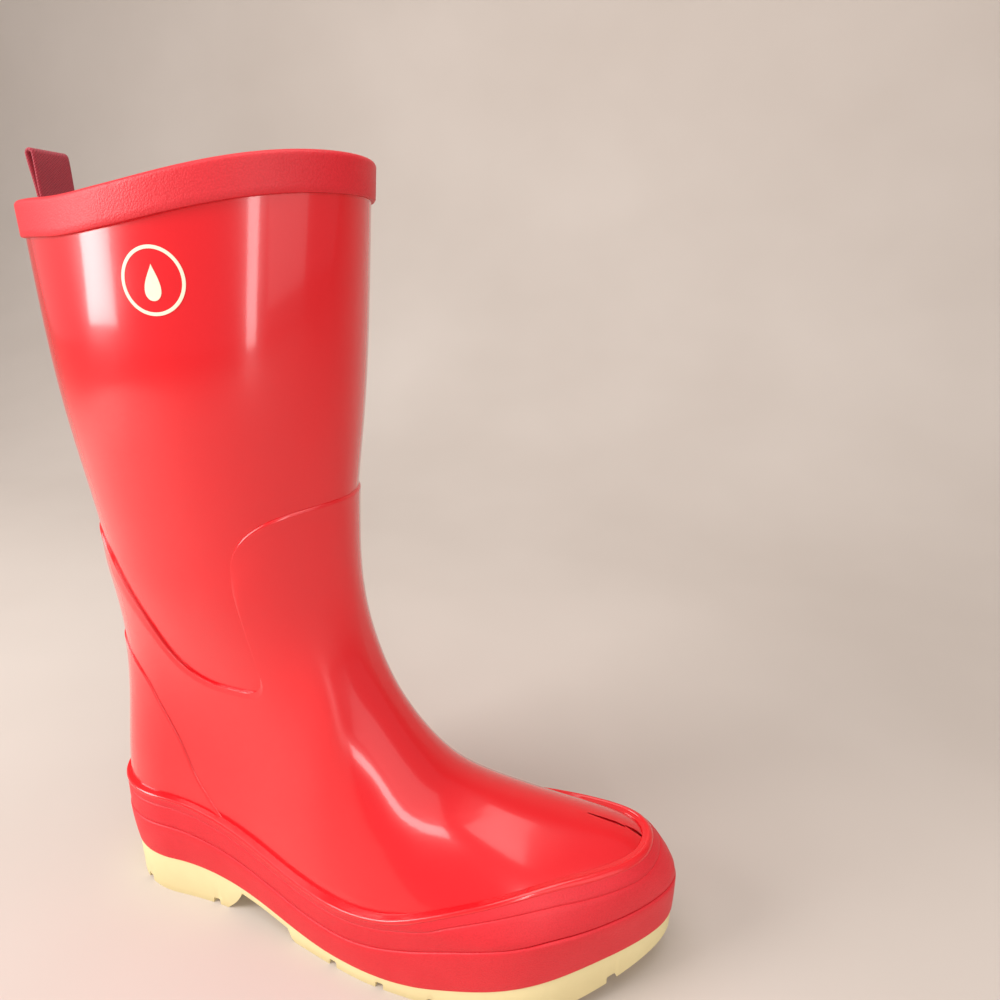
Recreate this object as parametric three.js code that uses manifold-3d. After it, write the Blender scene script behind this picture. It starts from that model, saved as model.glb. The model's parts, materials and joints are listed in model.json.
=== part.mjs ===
// A mid-calf rubber rain boot for the right foot, built up in layers as the real one is.
// Millimetres, +X to the toe, +Z up, the outer side at -Y. The origin is under the middle of the heel.
import * as THREE from "three";
import { mergeVertices } from "three/addons/utils/BufferGeometryUtils.js";
import Module from "manifold-3d";

// ---- Driving dimensions ----

// Foot
const FOOT_LENGTH = 286; // the upper, heel to toe
const HEEL_CENTRE = 38; // from the heel's back to the origin
const HEEL_WIDTH = 60;
const WAIST_WIDTH = 62;
const BALL_WIDTH = 84;
const TOE_DRIFT = 17; // how far the toe leans to the inner side
const TOE_WALL_HEIGHT = 46; // top of the upright wall round the toe
const ANKLE_HEIGHT = 150;

// Leg
const RIM_BACK_HEIGHT = 342;
const RIM_FRONT_HEIGHT = 360;
const ANKLE_DEPTH = 125; // fore and aft at its narrowest
const ANKLE_WIDTH = 78;
const RIM_DEPTH = 155.5;
const RIM_WIDTH = 95;

// Layers, from the leg panel's outer face: positive is outwards
const CLEARANCE = 0.35; // between two layers that touch on the real boot
const LEG_WALL = 1.8;
const VAMP_WALL = 1.1;
const COUNTER_WALL = 0.8;
const BAND_WALL = 1.4;
const FOXING_UPPER_WALL = 2;
const FOXING_LOWER_WALL = 2.4;
const CLOTH_WALL = 1.3; // stiffeners and cloth between rubber and lining
const LINING_WALL = 1.2;

// Seams and edges
const VAMP_FRONT_HEIGHT = 226;
const VAMP_BACK_HEIGHT = 207;
const VAMP_NOTCH_HEIGHT = 133; // lowest point of the vamp's edge, at the side
const LAP = 12; // how far the leg panel runs on under the vamp
const COUNTER_HEIGHT = 144;
const COUNTER_REACH = 72; // from the heel's back to the foot of the front seam
const BAND_HEIGHT = 14;
const BEAD_HEIGHT = 2.7;
const FOXING_UPPER_HEIGHT = 15.5;
const FOXING_HEEL = 59.5; // top of the foxing, at the heel, the waist and the toe
const FOXING_WAIST = 38;
const FOXING_TOE = 60.5;

// Sole
const SOLE_HEEL = 23; // top of the cream sole's edge, at the heel, the waist and the toe
const SOLE_WAIST = 7;
const SOLE_TOE = 26;
const SOLE_PROUD = 4; // how far the sole stands out of the leg panel's face
const ARCH_WALL = 4;
const HEEL_BLOCK_LENGTH = 73;
const FOREFOOT_START = 111;
const TOE_SPRING = 15; // the tread's height under the tip of the toe
const TOE_SPRING_START = 190;
const GROOVE_WIDTH = 4;
const GROOVE_DEPTH = 3.5;
const GROOVE_PITCH = 26;

// Inside
const BOARD_LIFT_HEEL = 10; // board above the sole's edge
const BOARD_LIFT_BALL = 3.6;
const BOARD_WALL = 2;
const SHANK_LENGTH = 90;
const SHANK_WIDTH = 16;
const SHANK_WALL = 1.2;
const FOAM_WALL = 4;
const COVER_WALL = 0.8;
const FOOTBED_CLEARANCE = 1;
const LINING_JOIN_HEIGHT = 100;

// Pull loop
const LOOP_WIDTH = 18;
const LOOP_HEIGHT = 20; // above its hinge line
const LOOP_PLY = 1.5;
const LOOP_TAIL_LENGTH = 34;
const LOOP_LEAN = THREE.MathUtils.degToRad(6); // leans back

// Printed mark
const PRINT_RADIUS = 12;
const PRINT_LINE = 1.4;
const PRINT_FORWARD = 87; // from the heel's back
const PRINT_HEIGHT = 314;

// Facets
const FINE = 24; // columns from back to front on one side of the outer pieces
const COARSE = 16; // the same inside

// ---- Curves ----

const lerp = THREE.MathUtils.lerp;

// 0 before a, 1 after b, smooth between.
function ease(a, b, x) {
  const t = THREE.MathUtils.clamp((x - a) / (b - a), 0, 1);
  return t * t * (3 - 2 * t);
}

// A cubic spline y(x) through points, level at its first point where levelStart is set.
function spline(points, levelStart = false) {
  const n = points.length;
  const upper = new Array(n).fill(0);
  const bend = new Array(n).fill(0);
  const slope = (i) => (points[i + 1][1] - points[i][1]) / (points[i + 1][0] - points[i][0]);
  if (levelStart) {
    upper[0] = 0.5;
    bend[0] = (3 / (points[1][0] - points[0][0])) * slope(0);
  }
  for (let i = 1; i < n - 1; i++) {
    const before = points[i][0] - points[i - 1][0];
    const after = points[i + 1][0] - points[i][0];
    const pivot = 2 * (before + after) - before * upper[i - 1];
    upper[i] = after / pivot;
    bend[i] = (6 * (slope(i) - slope(i - 1)) - before * bend[i - 1]) / pivot;
  }
  bend[n - 1] = 0;
  for (let i = n - 2; i >= 0; i--) bend[i] -= upper[i] * bend[i + 1];
  return (x) => {
    let i = 0;
    while (i < n - 2 && x > points[i + 1][0]) i++;
    const h = points[i + 1][0] - points[i][0];
    const b = (x - points[i][0]) / h;
    const a = 1 - b;
    const curved = (a ** 3 - a) * bend[i] + (b ** 3 - b) * bend[i + 1];
    return a * points[i][1] + b * points[i + 1][1] + (curved * h * h) / 6;
  };
}

// ---- The last: the shape that every layer follows ----

// A height on the leg, 0 at the ankle and 1 at the front of the rim.
const legHeight = (share) => lerp(ANKLE_HEIGHT, RIM_FRONT_HEIGHT, share);
const alongFoot = (share) => share * FOOT_LENGTH;

const backLine = spline([
  [0, 7.5],
  [26, 2.7],
  [49, 0.5],
  [78, 2],
  [111, 6],
  [ANKLE_HEIGHT, 8.5],
  [legHeight(0.2), 8],
  [legHeight(0.48), 3.3],
  [legHeight(0.76), -5],
  [legHeight(1), -10],
]);

const frontCurve = spline(
  [
    [TOE_WALL_HEIGHT, alongFoot(1)],
    [55, alongFoot(0.98)],
    [61, alongFoot(0.96)],
    [67, alongFoot(0.925)],
    [74, alongFoot(0.83)],
    [84, alongFoot(0.69)],
    [97, alongFoot(0.609)],
    [115, alongFoot(0.554)],
    [ANKLE_HEIGHT - 10, alongFoot(0.502)],
    [ANKLE_HEIGHT + 19, 10 + ANKLE_DEPTH],
    [legHeight(0.26), 7.5 + ANKLE_DEPTH],
    [legHeight(0.5), -18.5 + RIM_DEPTH],
    [legHeight(0.76), -13.5 + RIM_DEPTH],
    [legHeight(1), -10 + RIM_DEPTH],
  ],
  true,
);
const frontLine = (z) => (z < TOE_WALL_HEIGHT ? FOOT_LENGTH : frontCurve(z));

const LEG_FOOT = 92; // below it the leg's width no longer matters
const legHalfWidth = spline([
  [LEG_FOOT, ANKLE_WIDTH / 2 - 4],
  [121, ANKLE_WIDTH / 2 - 4.3],
  [ANKLE_HEIGHT, ANKLE_WIDTH / 2 - 3.3],
  [legHeight(0.23), ANKLE_WIDTH / 2],
  [legHeight(0.55), RIM_WIDTH / 2 + 2.3],
  [legHeight(0.77), RIM_WIDTH / 2 + 2.5],
  [legHeight(1), RIM_WIDTH / 2],
]);

// Half widths of the foot either side of its centre line; the inner side is hollowed at the arch.
const outerWidth = spline([
  [0, HEEL_WIDTH / 2 + 0.8],
  [alongFoot(0.14), HEEL_WIDTH / 2 - 2.8],
  [alongFoot(0.29), HEEL_WIDTH / 2 - 1.1],
  [alongFoot(0.4), WAIST_WIDTH * 0.57],
  [alongFoot(0.53), BALL_WIDTH / 2 + 0.4],
  [alongFoot(0.68), BALL_WIDTH / 2 + 5.9],
  [alongFoot(0.83), BALL_WIDTH / 2 + 15.5],
  [alongFoot(1), BALL_WIDTH / 2 + 2.7],
]);
const innerWidth = spline([
  [0, HEEL_WIDTH / 2 + 1.7],
  [alongFoot(0.14), HEEL_WIDTH / 2 + 1.8],
  [alongFoot(0.29), HEEL_WIDTH / 2 - 1.9],
  [alongFoot(0.39), WAIST_WIDTH * 0.43],
  [alongFoot(0.52), BALL_WIDTH / 2 - 10],
  [alongFoot(0.69), BALL_WIDTH / 2 - 6],
  [alongFoot(0.83), BALL_WIDTH / 2 - 8],
  [alongFoot(1), BALL_WIDTH / 2 + 3],
]);

const ROOF_FLOOR = TOE_WALL_HEIGHT - 2;
const ROOF_TOP = ANKLE_HEIGHT + 51;

// The height of the foot's roof at x, where frontLine passes x.
function roof(x) {
  let low = ROOF_FLOOR;
  let high = ROOF_TOP;
  for (let i = 0; i < 30; i++) {
    const middle = (low + high) / 2;
    if (frontLine(middle) > x) low = middle;
    else high = middle;
  }
  return (low + high) / 2;
}

const HEEL_ROUND = 36;
const TOE_ROUND_START = alongFoot(0.62);
const TOE_FULLNESS = 1.6; // 2 would be an ellipse
const ROOF_FULLNESS = 1.2;
const LEG_FULLNESS = 2.2;
const RIM_BACK_FULLNESS = 1.5; // towards the rim the back of the oval is more pointed
const BACK_NARROWS = 200;
const NOSE_FULLNESS = 0.7; // above the wall the toe's end fills out
const NOSE_RISE = 16;
const LEG_STARTS = 84; // between these heights the foot's width passes into the leg's
const LEG_FULL = 191;
const DRIFT_FADES = 64; // and between these the lean to the inner side fades out
const DRIFT_GONE = 151;

function footHalf(x, z, outerSide) {
  const along = THREE.MathUtils.clamp(x - backLine(z) * (1 - x / FOOT_LENGTH), 0, FOOT_LENGTH);
  const width = (outerSide ? outerWidth : innerWidth)(along);
  const heel = along < HEEL_ROUND ? Math.sqrt(1 - (1 - along / HEEL_ROUND) ** 2) : 1;
  const nearTip = Math.max(0, (along - TOE_ROUND_START) / (FOOT_LENGTH - TOE_ROUND_START));
  const toe = Math.sqrt(Math.max(0, 1 - nearTip ** TOE_FULLNESS));
  const rise = Math.max(0, z - ROOF_FLOOR) / Math.max(roof(x) - ROOF_FLOOR, 1e-6);
  const arch = Math.sqrt(Math.max(0, 1 - Math.min(rise, 1) ** ROOF_FULLNESS));
  const nose = lerp(toe, toe ** NOSE_FULLNESS, ease(ROOF_FLOOR, ROOF_FLOOR + NOSE_RISE, z));
  return width * heel * nose * arch;
}

function legHalf(x, z) {
  const middle = (frontLine(z) + backLine(z)) / 2;
  const reach = Math.min(1, Math.abs(x - middle) / (frontLine(z) - middle));
  const back = lerp(LEG_FULLNESS, RIM_BACK_FULLNESS, ease(BACK_NARROWS, RIM_BACK_HEIGHT, z));
  const fullness = x < middle ? back : LEG_FULLNESS;
  return legHalfWidth(Math.max(z, LEG_FOOT)) * Math.sqrt(1 - reach ** fullness);
}

// A point of the last. turn runs from 0 at the back, along the outer side to 1 at the front, and along
// the inner side to 2 at the back again.
function last(turn, z) {
  const wrapped = ((turn % 2) + 2) % 2;
  const outerSide = wrapped <= 1;
  const tau = outerSide ? wrapped : 2 - wrapped;
  const back = backLine(z);
  const x = back + ((frontLine(z) - back) * (1 - Math.cos(Math.PI * tau))) / 2;
  const half = lerp(footHalf(x, z, outerSide), legHalf(x, z), ease(LEG_STARTS, LEG_FULL, z));
  const drift = TOE_DRIFT * ease(alongFoot(0.52), alongFoot(1.05), x) * (1 - ease(DRIFT_FADES, DRIFT_GONE, z));
  return new THREE.Vector3(x - HEEL_CENTRE, drift + (outerSide ? -half : half), z);
}

// The same point moved outwards by offset, square to the last.
function layer(turn, z, offset) {
  const step = 1e-3;
  const along = last(turn + step, z).sub(last(turn - step, z));
  const up = last(turn, z + step).sub(last(turn, z - step));
  return last(turn, z).addScaledVector(along.cross(up).normalize(), offset);
}

// The point at a height that depends on x, kept exactly at that height.
function layerAt(turn, heightOf, offset) {
  let z = heightOf(last(turn, TOE_WALL_HEIGHT).x);
  for (let i = 0; i < 4; i++) z = heightOf(last(turn, z).x);
  return layer(turn, z, offset).setZ(z);
}

// The height on a column where it meets a line heightOf(x).
function meet(turn, heightOf, start) {
  let z = start;
  for (let i = 0; i < 6; i++) z = heightOf(last(turn, z).x);
  return z;
}

// The turn at which a level reaches x, on the outer side.
function turnAt(x, z) {
  const back = backLine(z) - HEEL_CENTRE;
  const depth = frontLine(z) - HEEL_CENTRE - back;
  return Math.acos(THREE.MathUtils.clamp(1 - (2 * (x - back)) / depth, -1, 1)) / Math.PI;
}

// The turn at which a level is halfWidth from the centre line at the back.
function turnAtWidth(halfWidth, z) {
  let low = 0;
  let high = 0.4;
  for (let i = 0; i < 30; i++) {
    const middle = (low + high) / 2;
    if (-last(middle, z).y < halfWidth) low = middle;
    else high = middle;
  }
  return low;
}

// ---- Lines along the foot, as heights over x in the part's frame ----

const fromHeel = (x) => x + HEEL_CENTRE;
const soleTop = (x) =>
  SOLE_HEEL +
  (SOLE_WAIST - SOLE_HEEL) * ease(40, 140, fromHeel(x)) +
  (SOLE_TOE - SOLE_WAIST) * ease(alongFoot(0.577), alongFoot(0.916), fromHeel(x));
const foxingTop = (x) =>
  FOXING_HEEL +
  (FOXING_WAIST - FOXING_HEEL) * ease(30, alongFoot(0.49), fromHeel(x)) +
  (FOXING_TOE - FOXING_WAIST) * ease(alongFoot(0.49), alongFoot(0.857), fromHeel(x));
const foxingMiddle = (x) => foxingTop(x) - FOXING_UPPER_HEIGHT;
const rim = (x) => lerp(RIM_BACK_HEIGHT, RIM_FRONT_HEIGHT, ease(37, RIM_DEPTH, fromHeel(x)));
const boardBottom = (x) =>
  soleTop(x) + lerp(BOARD_LIFT_HEEL, BOARD_LIFT_BALL, ease(60, 150, fromHeel(x)));
const boardTop = (x) => boardBottom(x) + BOARD_WALL;
const sockFloor = (x) => boardTop(x) + 2 * CLEARANCE + LINING_WALL;
const foamBottom = (x) => sockFloor(x) + CLEARANCE;
const foamTop = (x) => foamBottom(x) + FOAM_WALL;
const coverBottom = (x) => foamTop(x) + CLEARANCE;

// Faces of the layers, as offsets
const vampInner = CLEARANCE + 0.25;
const vampOuter = vampInner + VAMP_WALL;
const overVamp = vampOuter + CLEARANCE;
const clothOuter = -0.65;
const clothInner = clothOuter - CLOTH_WALL;
const liningOuter = clothInner - 2.05;
const liningInner = liningOuter - LINING_WALL;
const insideLining = liningInner - 3 * CLEARANCE;

// The vamp's edge from the back to the front of the outer side. Each point is a turn and a share of the
// rise from the notch to the back or the front height.
const HALF_GIRTH = 185; // of the ankle, so that the edge is even in millimetres
const backRise = (turn, share) => [turn, lerp(VAMP_NOTCH_HEIGHT, VAMP_BACK_HEIGHT, share)];
const frontRise = (turn, share) => [turn, lerp(VAMP_NOTCH_HEIGHT, VAMP_FRONT_HEIGHT, share)];
const vampCurve = new THREE.SplineCurve(
  [
    backRise(0, 1),
    backRise(0.1, 0.985),
    backRise(0.2, 0.94),
    backRise(0.258, 0.85),
    backRise(0.311, 0.65),
    backRise(0.361, 0.38),
    backRise(0.411, 0.12),
    backRise(0.464, 0.02),
    backRise(0.53, 0),
    frontRise(0.59, 0.02),
    frontRise(0.614, 0.08),
    frontRise(0.627, 0.22),
    frontRise(0.632, 0.387),
    frontRise(0.634, 0.545),
    frontRise(0.638, 0.69),
    frontRise(0.653, 0.8),
    frontRise(0.69, 0.89),
    frontRise(0.75, 0.955),
    frontRise(0.83, 0.99),
    frontRise(1, 1),
  ].map(([turn, z]) => new THREE.Vector2(turn * HALF_GIRTH, z)),
);

// A point of the vamp's edge, moved in under the vamp by lap.
function vampEdge(share, lap = 0) {
  const at = vampCurve.getPointAt(share);
  const along = vampCurve.getTangentAt(share);
  const turn = THREE.MathUtils.clamp((at.x + lap * along.y) / HALF_GIRTH, 0, 1);
  return { turn: share === 0 || share === 1 ? share : turn, z: at.y - lap * along.x };
}

// ---- Making closed bodies ----

// A closed geometry from triangles: corners closer than a micrometre are one, and the faces look outwards.
function closed(triangles) {
  const positions = [];
  const indices = [];
  const seen = new Map();
  const indexOf = (p) => {
    const key = p.toArray().map((v) => Math.round(v * 1e3)).join();
    if (!seen.has(key)) {
      seen.set(key, positions.length / 3);
      positions.push(p.x, p.y, p.z);
    }
    return seen.get(key);
  };
  let volume = 0;
  for (const [a, b, c] of triangles) {
    const corner = [a, b, c].map(indexOf);
    if (new Set(corner).size < 3) continue;
    indices.push(...corner);
    volume += a.dot(new THREE.Vector3().crossVectors(b, c));
  }
  if (volume < 0) indices.reverse();
  const geometry = new THREE.BufferGeometry();
  geometry.setAttribute("position", new THREE.Float32BufferAttribute(positions, 3));
  geometry.setIndex(indices);
  geometry.computeVertexNormals();
  return geometry;
}

// Joins a row of sections, each a loop of as many points, into one body. A ring joins its last section to
// its first; otherwise the two ends are filled across, unless they close by themselves.
function sweep(sections, ring, endsClose = false) {
  const triangles = [];
  const quad = (a, b, c, d) => triangles.push([a, b, c], [a, c, d]);
  const size = sections[0].length;
  const steps = ring ? sections.length : sections.length - 1;
  for (let j = 0; j < steps; j++) {
    const here = sections[j];
    const next = sections[(j + 1) % sections.length];
    for (let i = 0; i < size; i++) {
      const k = (i + 1) % size;
      quad(here[i], next[i], next[k], here[k]);
    }
  }
  if (!ring && !endsClose) {
    const first = sections[0];
    const end = sections[sections.length - 1];
    for (let i = 0; i < size / 2 - 1; i++) {
      const far = size - 1 - i;
      quad(first[i], first[i + 1], first[far - 1], first[far]);
      quad(end[far], end[far - 1], end[i + 1], end[i]);
    }
  }
  return closed(triangles);
}

const range = (count) => Array.from({ length: count }, (_, i) => i);

// A sheet between two offsets, each a function of the row. at(share, row) gives the turn and height of row
// 0..rows of a column.
function sheet({ columns, rows, ring, at, outer, inner }) {
  const sections = range(ring ? columns : columns + 1).map((j) => {
    const places = range(rows + 1).map((row) => at(j / columns, row));
    const outside = places.map(([turn, z], row) => layer(turn, z, outer(row)));
    const inside = places.map(([turn, z], row) => layer(turn, z, inner(row)));
    return [...outside, ...inside.reverse()];
  });
  return sweep(sections, ring);
}

// A ring all round the boot, mirrored from one side: at(share, row) for share 0 at the back, 1 at the front.
function wrap({ side, rows, at, outer, inner }) {
  return sheet({
    columns: 2 * side,
    rows,
    ring: true,
    outer,
    inner,
    at: (share, row) => {
      const outerSide = share <= 0.5;
      const [turn, z] = at(outerSide ? 2 * share : 2 - 2 * share, row);
      return [outerSide ? turn : 2 - turn, z];
    },
  });
}

// A ring whose section is given as offsets and heights over a base line; a level point keeps its height.
function strip(base, section) {
  const sections = range(2 * FINE).map((j) => {
    const turn = j / FINE;
    return section.map(([offset, rise, level]) => {
      const z = meet(turn, (x) => base(x) + rise(x), TOE_WALL_HEIGHT);
      const point = layer(turn, z, offset);
      return level ? point.setZ(z) : point;
    });
  });
  return sweep(sections, true);
}

// A slab across the foot from one turn to another, inside an offset.
function slab({ from = 0, to = 1, side = FINE, top, bottom, offset }) {
  const sections = range(side + 1).map((j) => {
    const turn = lerp(from, to, j / side);
    return [
      layerAt(turn, bottom, offset),
      layerAt(2 - turn, bottom, offset),
      layerAt(2 - turn, top, offset),
      layerAt(turn, top, offset),
    ];
  });
  return sweep(sections, false);
}

// ---- Booleans ----

const wasm = await Module();
wasm.setup();

function solid(geometry) {
  const bare = geometry.clone();
  bare.deleteAttribute("normal");
  bare.deleteAttribute("uv");
  const merged = mergeVertices(bare, 1e-4);
  const mesh = new wasm.Mesh({
    numProp: 3,
    vertProperties: new Float32Array(merged.attributes.position.array),
    triVerts: new Uint32Array(merged.index.array),
  });
  return new wasm.Manifold(mesh);
}

function geometryOf(manifold) {
  const mesh = manifold.getMesh();
  const geometry = new THREE.BufferGeometry();
  geometry.setAttribute("position", new THREE.BufferAttribute(new Float32Array(mesh.vertProperties), 3));
  geometry.setIndex(new THREE.BufferAttribute(new Uint32Array(mesh.triVerts), 1));
  geometry.computeVertexNormals();
  return geometry;
}

// An outline in X and Z, drawn right across the boot.
const ACROSS = 2 * BALL_WIDTH;
function across(shape, width = ACROSS) {
  const geometry = new THREE.ExtrudeGeometry(shape, { depth: width, bevelEnabled: false, curveSegments: 8 });
  return geometry.rotateX(Math.PI / 2).translate(0, width / 2, 0);
}

// ---- Materials ----

const finish = (color, roughness, metalness = 0) =>
  new THREE.MeshStandardMaterial({ color, roughness, metalness });
const glossRed = finish(0xd8202c, 0.2);
const pebbledRed = finish(0xd0202c, 0.6);
const creamRubber = finish(0xeedf9e, 0.5);
const webbingRed = finish(0xa81c2c, 0.8);
const creamInk = finish(0xf2e8c8, 0.4);
const knit = finish(0xd9d4ca, 0.95);
const cloth = finish(0xb9b2a3, 0.95);
const board = finish(0xa58a62, 0.9);
const filler = finish(0x55524e, 0.95);
const foam = finish(0x3b3f45, 0.95);
const steel = finish(0xb5b9bd, 0.35, 1);

const boot = new THREE.Group();

function add(name, geometry, material) {
  const mesh = new THREE.Mesh(geometry, material);
  mesh.name = name;
  boot.add(mesh);
  return mesh;
}

// ---- Leg ----

const legTop = (x) => rim(x) - BAND_WALL - CLEARANCE;
const LEG_ROWS = 9;
const SKIVE = 0.5; // the panel's edge is pared down where it runs under the vamp
add(
  "leg_panel",
  wrap({
    side: FINE,
    rows: LEG_ROWS,
    outer: (row) => (row === 0 ? -SKIVE : 0),
    inner: () => -LEG_WALL,
    at: (share, row) => {
      const edge = vampEdge(share, row === 0 ? LAP : 0);
      const up = Math.max(0, row - 1) / (LEG_ROWS - 1);
      const top = meet(share, legTop, RIM_BACK_HEIGHT);
      return [lerp(edge.turn, share, ease(0, 1, up)), lerp(edge.z, top, up)];
    },
  }),
  glossRed,
);

// The band is folded over the top of the leg panel and the lining.
const bandFoot = () => -BAND_HEIGHT;
const bandFold = () => -BAND_WALL;
const bandTop = () => 0;
const bandOuter = CLEARANCE + BAND_WALL;
add(
  "collar_band",
  strip(rim, [
    [CLEARANCE, bandFoot],
    [bandOuter, bandFoot],
    [bandOuter, () => -BAND_WALL / 2],
    [bandOuter - BAND_WALL / 2, bandTop],
    [liningInner, bandTop],
    [liningInner, bandFold],
    [CLEARANCE, bandFold],
  ]),
  pebbledRed,
);

// ---- Foot ----

// Heights of the rows: close together where the toe's wall turns over into its roof.
const TOE_ROWS = [TOE_WALL_HEIGHT, 51, 55, 58.5, 61.5, 64.5, 67.5, 71, 76, 83, 89, 95];
const FOOT_ROWS = [...TOE_ROWS, 105, 117];
const EDGE_ROWS = 6;
add(
  "vamp_panel",
  wrap({
    side: FINE,
    rows: FOOT_ROWS.length + EDGE_ROWS,
    outer: () => vampOuter,
    inner: () => vampInner,
    at: (share, row) => {
      if (row === 0) return [share, meet(share, (x) => soleTop(x) + CLEARANCE, TOE_WALL_HEIGHT)];
      const edge = vampEdge(share);
      const top = FOOT_ROWS[FOOT_ROWS.length - 1];
      const left = row - FOOT_ROWS.length;
      const z = left <= 0 ? FOOT_ROWS[row - 1] : lerp(top, edge.z, left / EDGE_ROWS);
      return [lerp(share, edge.turn, ease(60, edge.z, z)), z];
    },
  }),
  glossRed,
);

// Front seam of the heel counter: how far forward of the heel's back it is at each height.
const counterSeam = spline([
  [foxingTop(COUNTER_REACH - HEEL_CENTRE), COUNTER_REACH],
  [62, COUNTER_REACH - 7],
  [72, COUNTER_REACH - 14],
  [94, COUNTER_REACH - 24],
  [113, COUNTER_REACH - 33],
  [131, COUNTER_REACH - 44],
  [COUNTER_HEIGHT - 6, COUNTER_REACH - 52],
  [COUNTER_HEIGHT, COUNTER_REACH - 60],
]);
const COUNTER_ROWS = 10;
const overBead = (x) => foxingTop(x) + BEAD_HEIGHT + 3 * CLEARANCE;
add(
  "heel_counter",
  sheet({
    columns: 22,
    rows: COUNTER_ROWS,
    ring: false,
    outer: () => overVamp + COUNTER_WALL,
    inner: () => overVamp + 0.2,
    at: (share, row) => {
      const side = 1 - 2 * share;
      const foot = meet(side * turnAt(COUNTER_REACH - HEEL_CENTRE, TOE_WALL_HEIGHT), overBead, TOE_WALL_HEIGHT);
      const up = 1 - (1 - row / COUNTER_ROWS) ** 1.6; // rows close up towards the narrow top
      const z = lerp(foot, COUNTER_HEIGHT, up);
      return [side * turnAt(counterSeam(z) - HEEL_CENTRE, z), z];
    },
  }),
  glossRed,
);

// ---- Foxing: the strips wrapped round the foot over the sole's edge ----

// A section between two offsets, with rows of points on both faces so that it follows the toe's turn.
function band({ inner, outer, low, high, rows, levelFoot = false }) {
  const line = (offset) =>
    range(rows + 1).map((i) => [offset, (x) => lerp(low(x), high(x), i / rows), levelFoot && i === 0]);
  return [...line(inner), ...line(outer).reverse()];
}

const foxingInner = overVamp + CLEARANCE;
const foxingOuter = foxingInner + FOXING_UPPER_WALL;
const upperFoot = () => CLEARANCE - FOXING_UPPER_HEIGHT;
add(
  "foxing_upper",
  strip(foxingTop, band({ inner: foxingInner, outer: foxingOuter, low: upperFoot, high: () => 0, rows: 4 })),
  pebbledRed,
);

const beadOuter = foxingOuter + 0.4;
add(
  "welt_bead",
  strip(foxingTop, [
    [overVamp, () => CLEARANCE],
    [beadOuter - 0.6, () => CLEARANCE],
    [beadOuter, () => CLEARANCE + 0.9],
    [beadOuter - 0.3, () => CLEARANCE + 1.8],
    [overVamp + 0.9, () => CLEARANCE + BEAD_HEIGHT],
    [overVamp, () => CLEARANCE + BEAD_HEIGHT],
  ]),
  glossRed,
);

const lowerHeight = (x) => foxingMiddle(x) - soleTop(x) - CLEARANCE;
add(
  "foxing_lower",
  strip(
    (x) => soleTop(x) + CLEARANCE,
    band({
      inner: overVamp,
      outer: overVamp + FOXING_LOWER_WALL,
      low: () => 0,
      high: lowerHeight,
      rows: 3,
      levelFoot: true,
    }),
  ),
  pebbledRed,
);

// ---- Outsole ----

const springAt = (x) => {
  const past = Math.max(0, fromHeel(x) - TOE_SPRING_START) / (FOOT_LENGTH - TOE_SPRING_START);
  return TOE_SPRING * past ** 2;
};

// Everything below the tread, the arch and the toe spring.
function underSole() {
  const far = 60;
  const deep = -20;
  const heelFront = HEEL_BLOCK_LENGTH - HEEL_CENTRE;
  const tread = FOREFOOT_START - HEEL_CENTRE;
  const tip = FOOT_LENGTH - HEEL_CENTRE + far;
  const shape = new THREE.Shape();
  shape.moveTo(-HEEL_CENTRE - far, deep);
  shape.lineTo(tip, deep);
  shape.lineTo(tip, springAt(tip));
  const springSteps = 14;
  for (let i = springSteps; i >= 0; i--) {
    const x = lerp(TOE_SPRING_START - HEEL_CENTRE, tip, i / springSteps);
    shape.lineTo(x, springAt(x));
  }
  shape.lineTo(tread + 2, 0);
  shape.lineTo(tread, 1.5);
  const archSteps = 5;
  for (let i = 0; i <= archSteps; i++) {
    const x = lerp(tread - 2, heelFront + 6, i / archSteps);
    shape.lineTo(x, soleTop(x) - ARCH_WALL);
  }
  shape.quadraticCurveTo(heelFront + 3, 1, heelFront - 4, 0);
  shape.lineTo(-HEEL_CENTRE + 3, 0);
  shape.lineTo(-HEEL_CENTRE - SOLE_PROUD, 3);
  shape.lineTo(-HEEL_CENTRE - far, 3);
  return solid(across(shape));
}

function groove(x) {
  const slope = Math.atan2(springAt(x + 1) - springAt(x - 1), 2);
  const bar = new THREE.BoxGeometry(GROOVE_WIDTH, ACROSS, 2 * GROOVE_DEPTH);
  return solid(bar.rotateY(-slope).translate(x, 0, springAt(x)));
}

const HEEL_GROOVES = [-20, 24]; // either side of the origin
let sole = solid(slab({ side: FINE, top: soleTop, bottom: () => -2, offset: SOLE_PROUD }));
sole = sole.subtract(underSole());
for (const x of HEEL_GROOVES) sole = sole.subtract(groove(x));
const firstGroove = FOREFOOT_START - HEEL_CENTRE + GROOVE_PITCH;
for (let x = firstGroove; x < FOOT_LENGTH - HEEL_CENTRE - GROOVE_WIDTH; x += GROOVE_PITCH) {
  sole = sole.subtract(groove(x));
}
add("outsole", geometryOf(sole), creamRubber);

// ---- Cloth and stiffeners between rubber and lining ----

const CLOTH_TOP = 95;
const ANKLE_ROWS = 4;
const ANKLE_CLOTH_TOP = VAMP_NOTCH_HEIGHT - LAP - 3; // just under the leg panel's lowest point
const ANKLE_SINK = 1.6; // the vamp bends in most at the ankle, so this ring lies a little deeper
add(
  "ankle_reinforcement",
  wrap({
    side: FINE,
    rows: ANKLE_ROWS,
    outer: () => -ANKLE_SINK,
    inner: () => -ANKLE_SINK - CLOTH_WALL,
    at: (share, row) => [share, lerp(CLOTH_TOP + CLEARANCE, ANKLE_CLOTH_TOP, row / ANKLE_ROWS)],
  }),
  cloth,
);

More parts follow.
